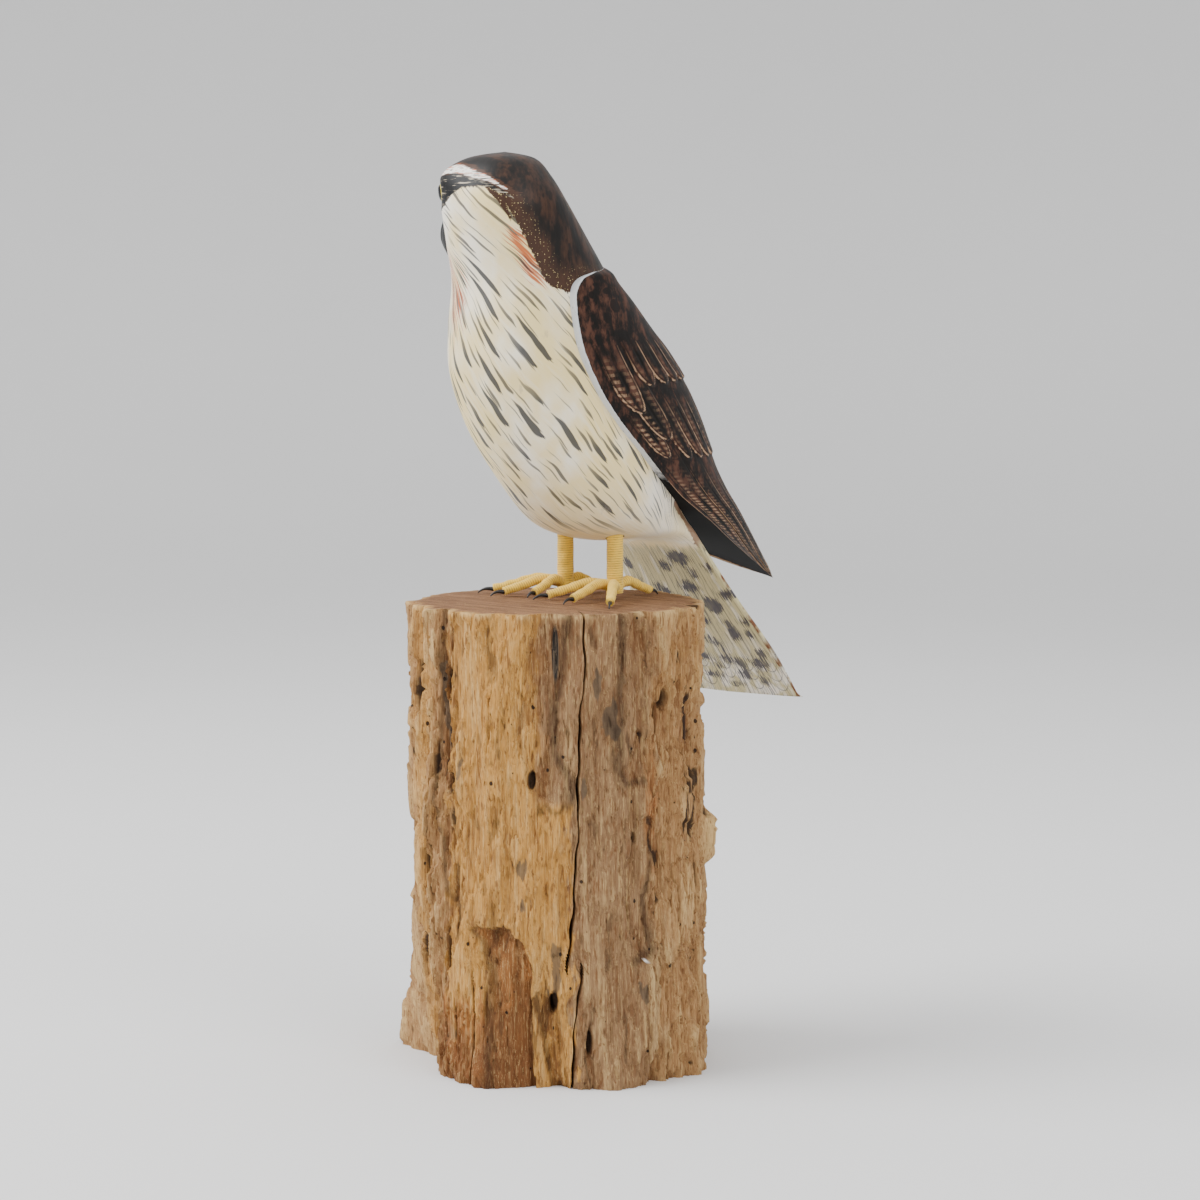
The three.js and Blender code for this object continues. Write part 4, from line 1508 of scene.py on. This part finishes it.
def log_finish(wood):
    finish = Finish("weathered_log")
    top = finish.guide("top_face")
    fibre = finish.noise((0.9, 0.9, 26), 5.0, 0.65)
    streak = finish.noise((4, 4, 70), 4.0, 0.6)
    patch = finish.noise((9, 9, 15), 5.0, 0.65)
    speck = finish.noise((1.6, 1.6, 3.2), 3.0, 0.6)
    dirt = finish.noise((11, 11, 24), 5.0, 0.7)
    grain = finish.noise((0.5, 0.5, 7), 3.0, 0.7)
    dashes = finish.noise((1.5, 1.5, 8), 3.0, 0.6)

    def stain(name, amount, reach=0.5):
        return (finish.guide(name) + patch.centred(reach)).step(0.25, 0.75) * amount

    high = finish.guide("relief") * 0.22 + speck.centred(0.8)
    # Painted shade in pits, cracks, hollows and recesses, broken a little by specks
    deep = finish.guide("crevice_shade") + speck.centred(0.25)
    # Worm holes: dark dots that paint the shade inside each hole, and a dent in the bump
    distance, hole_size, present, _ = finish.cells((7, 7, 9))
    hole = (hole_size * 0.1 + 0.05 - distance).step(0.0, 0.03) * present.step(0.5, 0.55) * (1.0 - top)
    charred = finish.mix(wood.charred, wood.grey_mark, fibre.step(0.44, 0.6))
    side = finish.over(
        wood.tan,
        (wood.golden, stain("gold", 0.85)),
        (wood.greyed, stain("greyed", 0.85)),
        (wood.reddened, stain("reddened", 0.8)),
        (wood.darker_foot, stain("darker_foot", 0.65)),
        (wood.brown, streak.step(0.52, 0.7) * 0.5),
        (wood.pale, streak.step(0.46, 0.32) * 0.35),
        # Paler on raised relief, and browner in the low relief as painted shade
        (wood.pale, high.step(0.2, 0.9) * 0.45),
        (wood.brown, high.step(-0.2, -1.1) * 0.8),
        (wood.pale, fibre.step(0.52, 0.72) * 0.4),
        (wood.brown, fibre.step(0.48, 0.34) * 0.5),
        (wood.pale, finish.guide("rim") * 0.6),
        (wood.brown, dirt.step(0.52, 0.68) * 0.35),
        (wood.pale, grain.step(0.55, 0.7) * 0.45),
        (wood.brown, grain.step(0.45, 0.32) * 0.5),
        (wood.brown, dashes.step(0.57, 0.66) * 0.7),
        (wood.grey_mark, stain("grey_mark", 0.75, 0.7)),
        # Painted shade in pits, cracks, hollows, recesses and worm holes
        (wood.dark, deep.step(0.12, 0.85) * 0.9),
        (wood.dark, hole * 0.92),
        (charred, finish.guide("charred")),
        (wood.fleck, finish.guide("fleck")),
    )
    face = finish.over(
        wood.top,
        (wood.top_line, finish.noise((30, 3.2, 40), 4.0, 0.6, 0.4).step(0.38, 0.66)),
        (wood.dark, finish.noise((20, 0.8, 20), 4.0, 0.65).step(0.56, 0.66) * 0.75),
        (wood.pale, speck.step(0.6, 0.72) * 0.35),
    )
    grained = finish.bump(fibre - hole * 1.5, 0.8, 0.9)
    pitted = finish.bump(speck, 0.5, 0.5, grained)
    return finish.finished(finish.mix(side, face, top), fibre * 0.15 + 0.78, pitted, Specular_IOR_Level=0.3)


def paper_finish(color):
    """Pale paper with painted shade: a little darker away from the object and up the backdrop."""
    finish = Finish("floor_paper")
    x, y, z = finish.split(finish.place((1000, 1000, 1000)))
    away = (x * x + y * y).math("SQRT")
    # Painted shade where the light falls off away from the object and up the backdrop, with faint random
    # tone
    darker = away.step(0.3, 2.4) * 0.2 + z.step(0.0, 1.6) * 0.16 + finish.noise((300, 300, 300), 2.0) * 0.03
    return finish.finished(finish.mix(color, [0, 0, 0, 1], darker), 0.9)


# Sizes and colours that a user may change


def color_setting(name, description, code):
    return bpy.props.FloatVectorProperty(
        name=name, description=description, default=srgb(code), size=4, min=0, max=1, subtype="COLOR"
    )


def length_setting(name, description, metres):
    return bpy.props.FloatProperty(name=name, description=description, default=metres, unit="LENGTH")


def power_setting(name, description, watts):
    return bpy.props.FloatProperty(name=name, description=description, default=watts, subtype="POWER")


class KestrelBirdSettings(bpy.types.PropertyGroup):
    feather_height: length_setting(
        "Feather height", "How far the carved feather tips stand over the wing", 0.0013
    )
    cream: color_setting("Cream", "Ground of the breast", 0xF3DC9C)
    white: color_setting("White", "Lighter patches of the breast and face", 0xFFFAF0)
    # Belly paints the shade low on the belly, and greys the eye patch's lighter hairs
    belly: color_setting("Belly", "Greyer paint low on the belly", 0xDCCDB4)
    streak: color_setting("Streak", "Brush strokes on the breast", 0x262B35)
    rust: color_setting("Rust", "Orange feathers beside the throat", 0xC05E2E)
    smudge: color_setting("Smudge", "Grey brown marks of wear on the breast", 0x8C8074)
    tail: color_setting("Tail", "Ground under the tail", 0xCFC495)
    blotch: color_setting("Blotch", "Blotches and lines under the tail", 0x3E3A45)
    # Dark also paints the shadow beside the carved feathers' edges
    dark: color_setting("Dark", "Darkest brown of back and wings", 0x0E0A08)
    brown: color_setting("Brown", "Brown of the nape", 0x452C1E)
    wing_rust: color_setting("Wing rust", "Reddish brown of the wings", 0x56372A)
    bar: color_setting("Bar", "Pale bars and feather edges", 0xB08F70)
    band: color_setting("Band", "White band at the wing's front edge", 0xD2D4D6)
    bare: color_setting("Bare", "Bare reddish wood at worn edges", 0x754B32)
    black: color_setting("Black", "Eyes, eye patches and the bill's hook", 0x0C0C0E)
    eye_ring: color_setting("Eye ring", "Ring round each eye", 0xE6CF62)
    bill: color_setting("Bill", "Blue grey root of the bill", 0x8E979C)


class KestrelYarnSettings(bpy.types.PropertyGroup):
    pitch: length_setting("Pitch", "From one wrap of yarn to the next", 0.0012)
    ridge_height: length_setting("Ridge height", "How far each wrap stands out", 0.0004)
    color: color_setting("Yarn", "Yellow of the yarn", 0xF9CE46)
    # Painted shade of the yarn in the grooves between the wraps
    shade: color_setting("Shade", "Yarn between the wraps", 0xB4883A)
    light: color_setting("Light", "Lightest fibres", 0xFFE9A0)
    dust: color_setting("Dust", "Dust on the yarn", 0xA58A55)
    claw: color_setting("Claw", "Black paint of the claws", 0x1C1B1C)


class KestrelLogSettings(bpy.types.PropertyGroup):
    tan: color_setting("Tan", "Ground of the log", 0xA47C50)
    golden: color_setting("Golden", "Golden left of the log", 0xC08C42)
    greyed: color_setting("Greyed", "Greyer right of the log", 0x86684A)
    reddened: color_setting("Reddened", "Reddish stain low on the log", 0x94592C)
    # Darker colour towards the log's foot
    darker_foot: color_setting("Damp", "Dark stain at the log's foot", 0x5E3418)
    pale: color_setting("Pale", "Lightest fibres", 0xDDBB80)
    brown: color_setting("Brown", "Darker streaks", 0x6B4222)
    grey_mark: color_setting("Grey mark", "Grey crusts", 0x5E5040)
    charred: color_setting("Charred", "Charred mark", 0x24211F)
    fleck: color_setting("Fleck", "White fleck", 0xF4F2EC)
    # Dark paints the shade in cracks, hollows, recesses and worm holes, and the darker lines of the sawn
    # top
    dark: color_setting("Dark", "Cracks, hollows and worm holes", 0x20130B)
    top: color_setting("Top", "Sawn top", 0x8E6848)
    top_line: color_setting("Top line", "Darker rings of the top", 0x6C4A30)


class KestrelStageSettings(bpy.types.PropertyGroup):
    floor: color_setting("Floor", "Paper under and behind the object", 0xE6E6E6)
    key_power: power_setting("Key light", "Strength of the large light", 102.0)
    fill_power: power_setting("Fill light", "Strength of the light from the other side", 24.0)


# Operators


class OBJECT_OT_add_kestrel_body(bpy.types.Operator):
    """Carve and paint the bird's body, wings, tail and bill"""

    bl_idname = "object.add_kestrel_body"
    bl_label = "Kestrel body"
    bl_options = {"REGISTER", "UNDO"}

    def execute(self, context):
        bird = context.scene.kestrel_bird
        paints = [
            breast_paint(bird),
            wing_paint(bird),
            bill_paint(bird),
            socket_wood(bird),
            underside_paint(bird),
        ]
        finish_piece("kestrel_body_carved", kestrel_body_mesh(paints), ["kestrel_body"])
        return {"FINISHED"}


class OBJECT_OT_add_kestrel_legs(bpy.types.Operator):
    """Wind both legs and their toes with yarn"""

    bl_idname = "object.add_kestrel_legs"
    bl_label = "Yarn legs"
    bl_options = {"REGISTER", "UNDO"}

    def execute(self, context):
        finish = yarn_finish(context.scene.kestrel_yarn)
        for side, leg in LEGS.items():
            mesh = leg_mesh(f"{side}_leg_wound", leg)
            paint_all(mesh, [finish], 0)
            finish_piece(f"{side}_leg_wound", mesh, [f"{side}_leg"], sharp_angle=80)
        return {"FINISHED"}


class OBJECT_OT_add_kestrel_claws(bpy.types.Operator):
    """Shape the eight black claws"""

    bl_idname = "object.add_kestrel_claws"
    bl_label = "Claws"
    bl_options = {"REGISTER", "UNDO"}

    def execute(self, context):
        finish = claw_finish(context.scene.kestrel_yarn.claw)
        for side, leg in LEGS.items():
            for toe, tip in leg["toes"].items():
                name = f"{side}_{toe}_claw"
                mesh = claw_mesh(f"{name}_curved", leg["ankle"], tip)
                paint_all(mesh, [finish], 0)
                finish_piece(f"{name}_curved", mesh, [name], sharp_angle=80)
        return {"FINISHED"}


class OBJECT_OT_add_kestrel_log(bpy.types.Operator):
    """Weather the section of log that the bird stands on"""

    bl_idname = "object.add_kestrel_log"
    bl_label = "Log"
    bl_options = {"REGISTER", "UNDO"}

    def execute(self, context):
        mesh = log_mesh()
        paint_all(mesh, [log_finish(context.scene.kestrel_log)], 0)
        finish_piece("log_base_weathered", mesh, ["log_base"], sharp_angle=60)
        return {"FINISHED"}


class SCENE_OT_set_kestrel_stage(bpy.types.Operator):
    """Put down a pale floor that rises into a backdrop, soft lights and the camera"""

    bl_idname = "scene.set_kestrel_stage"
    bl_label = "Stage"
    bl_options = {"REGISTER", "UNDO"}

    def execute(self, context):
        stage = context.scene.kestrel_stage
        shape = bmesh.new()
        corners = [shape.verts.new((x, 0, z)) for x, z in BACKDROP]
        edges = [shape.edges.new(pair) for pair in zip(corners, corners[1:])]
        around = {"axis": (0, 0, 1), "cent": (0, 0, 0), "angle": math.tau, "steps": BACKDROP_SIDES}
        bmesh.ops.spin(shape, geom=corners + edges, use_merge=True, **around)
        bmesh.ops.remove_doubles(shape, verts=shape.verts, dist=0.003)
        bmesh.ops.recalc_face_normals(shape, faces=shape.faces)
        mesh = bpy.data.meshes.new("floor")
        shape.to_mesh(mesh)
        shape.free()
        mesh.shade_smooth()
        mesh.materials.append(paper_finish(stage.floor))
        floor = add_object("floor", mesh)
        smoother = floor.modifiers.new("smooth", "SUBSURF")
        smoother.levels = 2
        smoother.render_levels = 2

        self.add_light(context, "key", KEY_PLACE, KEY_SIZE, stage.key_power)
        self.add_light(context, "fill", FILL_PLACE, FILL_SIZE, stage.fill_power)
        world = bpy.data.worlds.new("studio")
        world.use_nodes = True
        background = world.node_tree.nodes["Background"]
        background.inputs["Color"].default_value = (1, 1, 1, 1)
        background.inputs["Strength"].default_value = WORLD_STRENGTH
        context.scene.world = world

        lens = bpy.data.cameras.new("camera")
        lens.lens = CAMERA_LENS
        lens.sensor_width = CAMERA_SENSOR
        camera = bpy.data.objects.new("camera", lens)
        camera.location = CAMERA_PLACE
        camera.rotation_euler = (math.radians(90 - CAMERA_DOWN), 0, math.radians(CAMERA_TURN))
        context.scene.collection.objects.link(camera)
        context.scene.camera = camera
        return {"FINISHED"}

    def add_light(self, context, name, place, size, strength):
        data = bpy.data.lights.new(name, "AREA")
        data.shape = "DISK"
        data.size = size
        data.energy = strength
        light = bpy.data.objects.new(name, data)
        light.location = place
        aim = Vector(LIGHT_AIM) - Vector(place)
        light.rotation_euler = aim.to_track_quat("-Z", "Y").to_euler()
        context.scene.collection.objects.link(light)


class VIEW3D_PT_kestrel(bpy.types.Panel):
    bl_label = "Carved kestrel"
    bl_space_type = "VIEW_3D"
    bl_region_type = "UI"
    bl_category = "Kestrel"

    def draw(self, context):
        layout = self.layout
        for settings_name in SETTINGS:
            group = getattr(context.scene, settings_name)
            column = layout.column(align=True)
            for name in group.__annotations__:
                column.prop(group, name)
        for operator in OPERATORS:
            layout.operator(operator.bl_idname)


SETTINGS = {
    "kestrel_bird": KestrelBirdSettings,
    "kestrel_yarn": KestrelYarnSettings,
    "kestrel_log": KestrelLogSettings,
    "kestrel_stage": KestrelStageSettings,
}
OPERATORS = (
    SCENE_OT_set_kestrel_stage,
    OBJECT_OT_add_kestrel_body,
    OBJECT_OT_add_kestrel_legs,
    OBJECT_OT_add_kestrel_claws,
    OBJECT_OT_add_kestrel_log,
)
CLASSES = (*SETTINGS.values(), *OPERATORS, VIEW3D_PT_kestrel)


def register():
    for cls in CLASSES:
        bpy.utils.register_class(cls)
    for name, group in SETTINGS.items():
        setattr(bpy.types.Scene, name, bpy.props.PointerProperty(type=group))


def unregister():
    for name in SETTINGS:
        delattr(bpy.types.Scene, name)
    for cls in reversed(CLASSES):
        bpy.utils.unregister_class(cls)


def main():
    register()
    bpy.ops.scene.set_kestrel_stage()
    bpy.ops.object.add_kestrel_body()
    bpy.ops.object.add_kestrel_legs()
    bpy.ops.object.add_kestrel_claws()
    bpy.ops.object.add_kestrel_log()


if __name__ == "__main__":
    main()
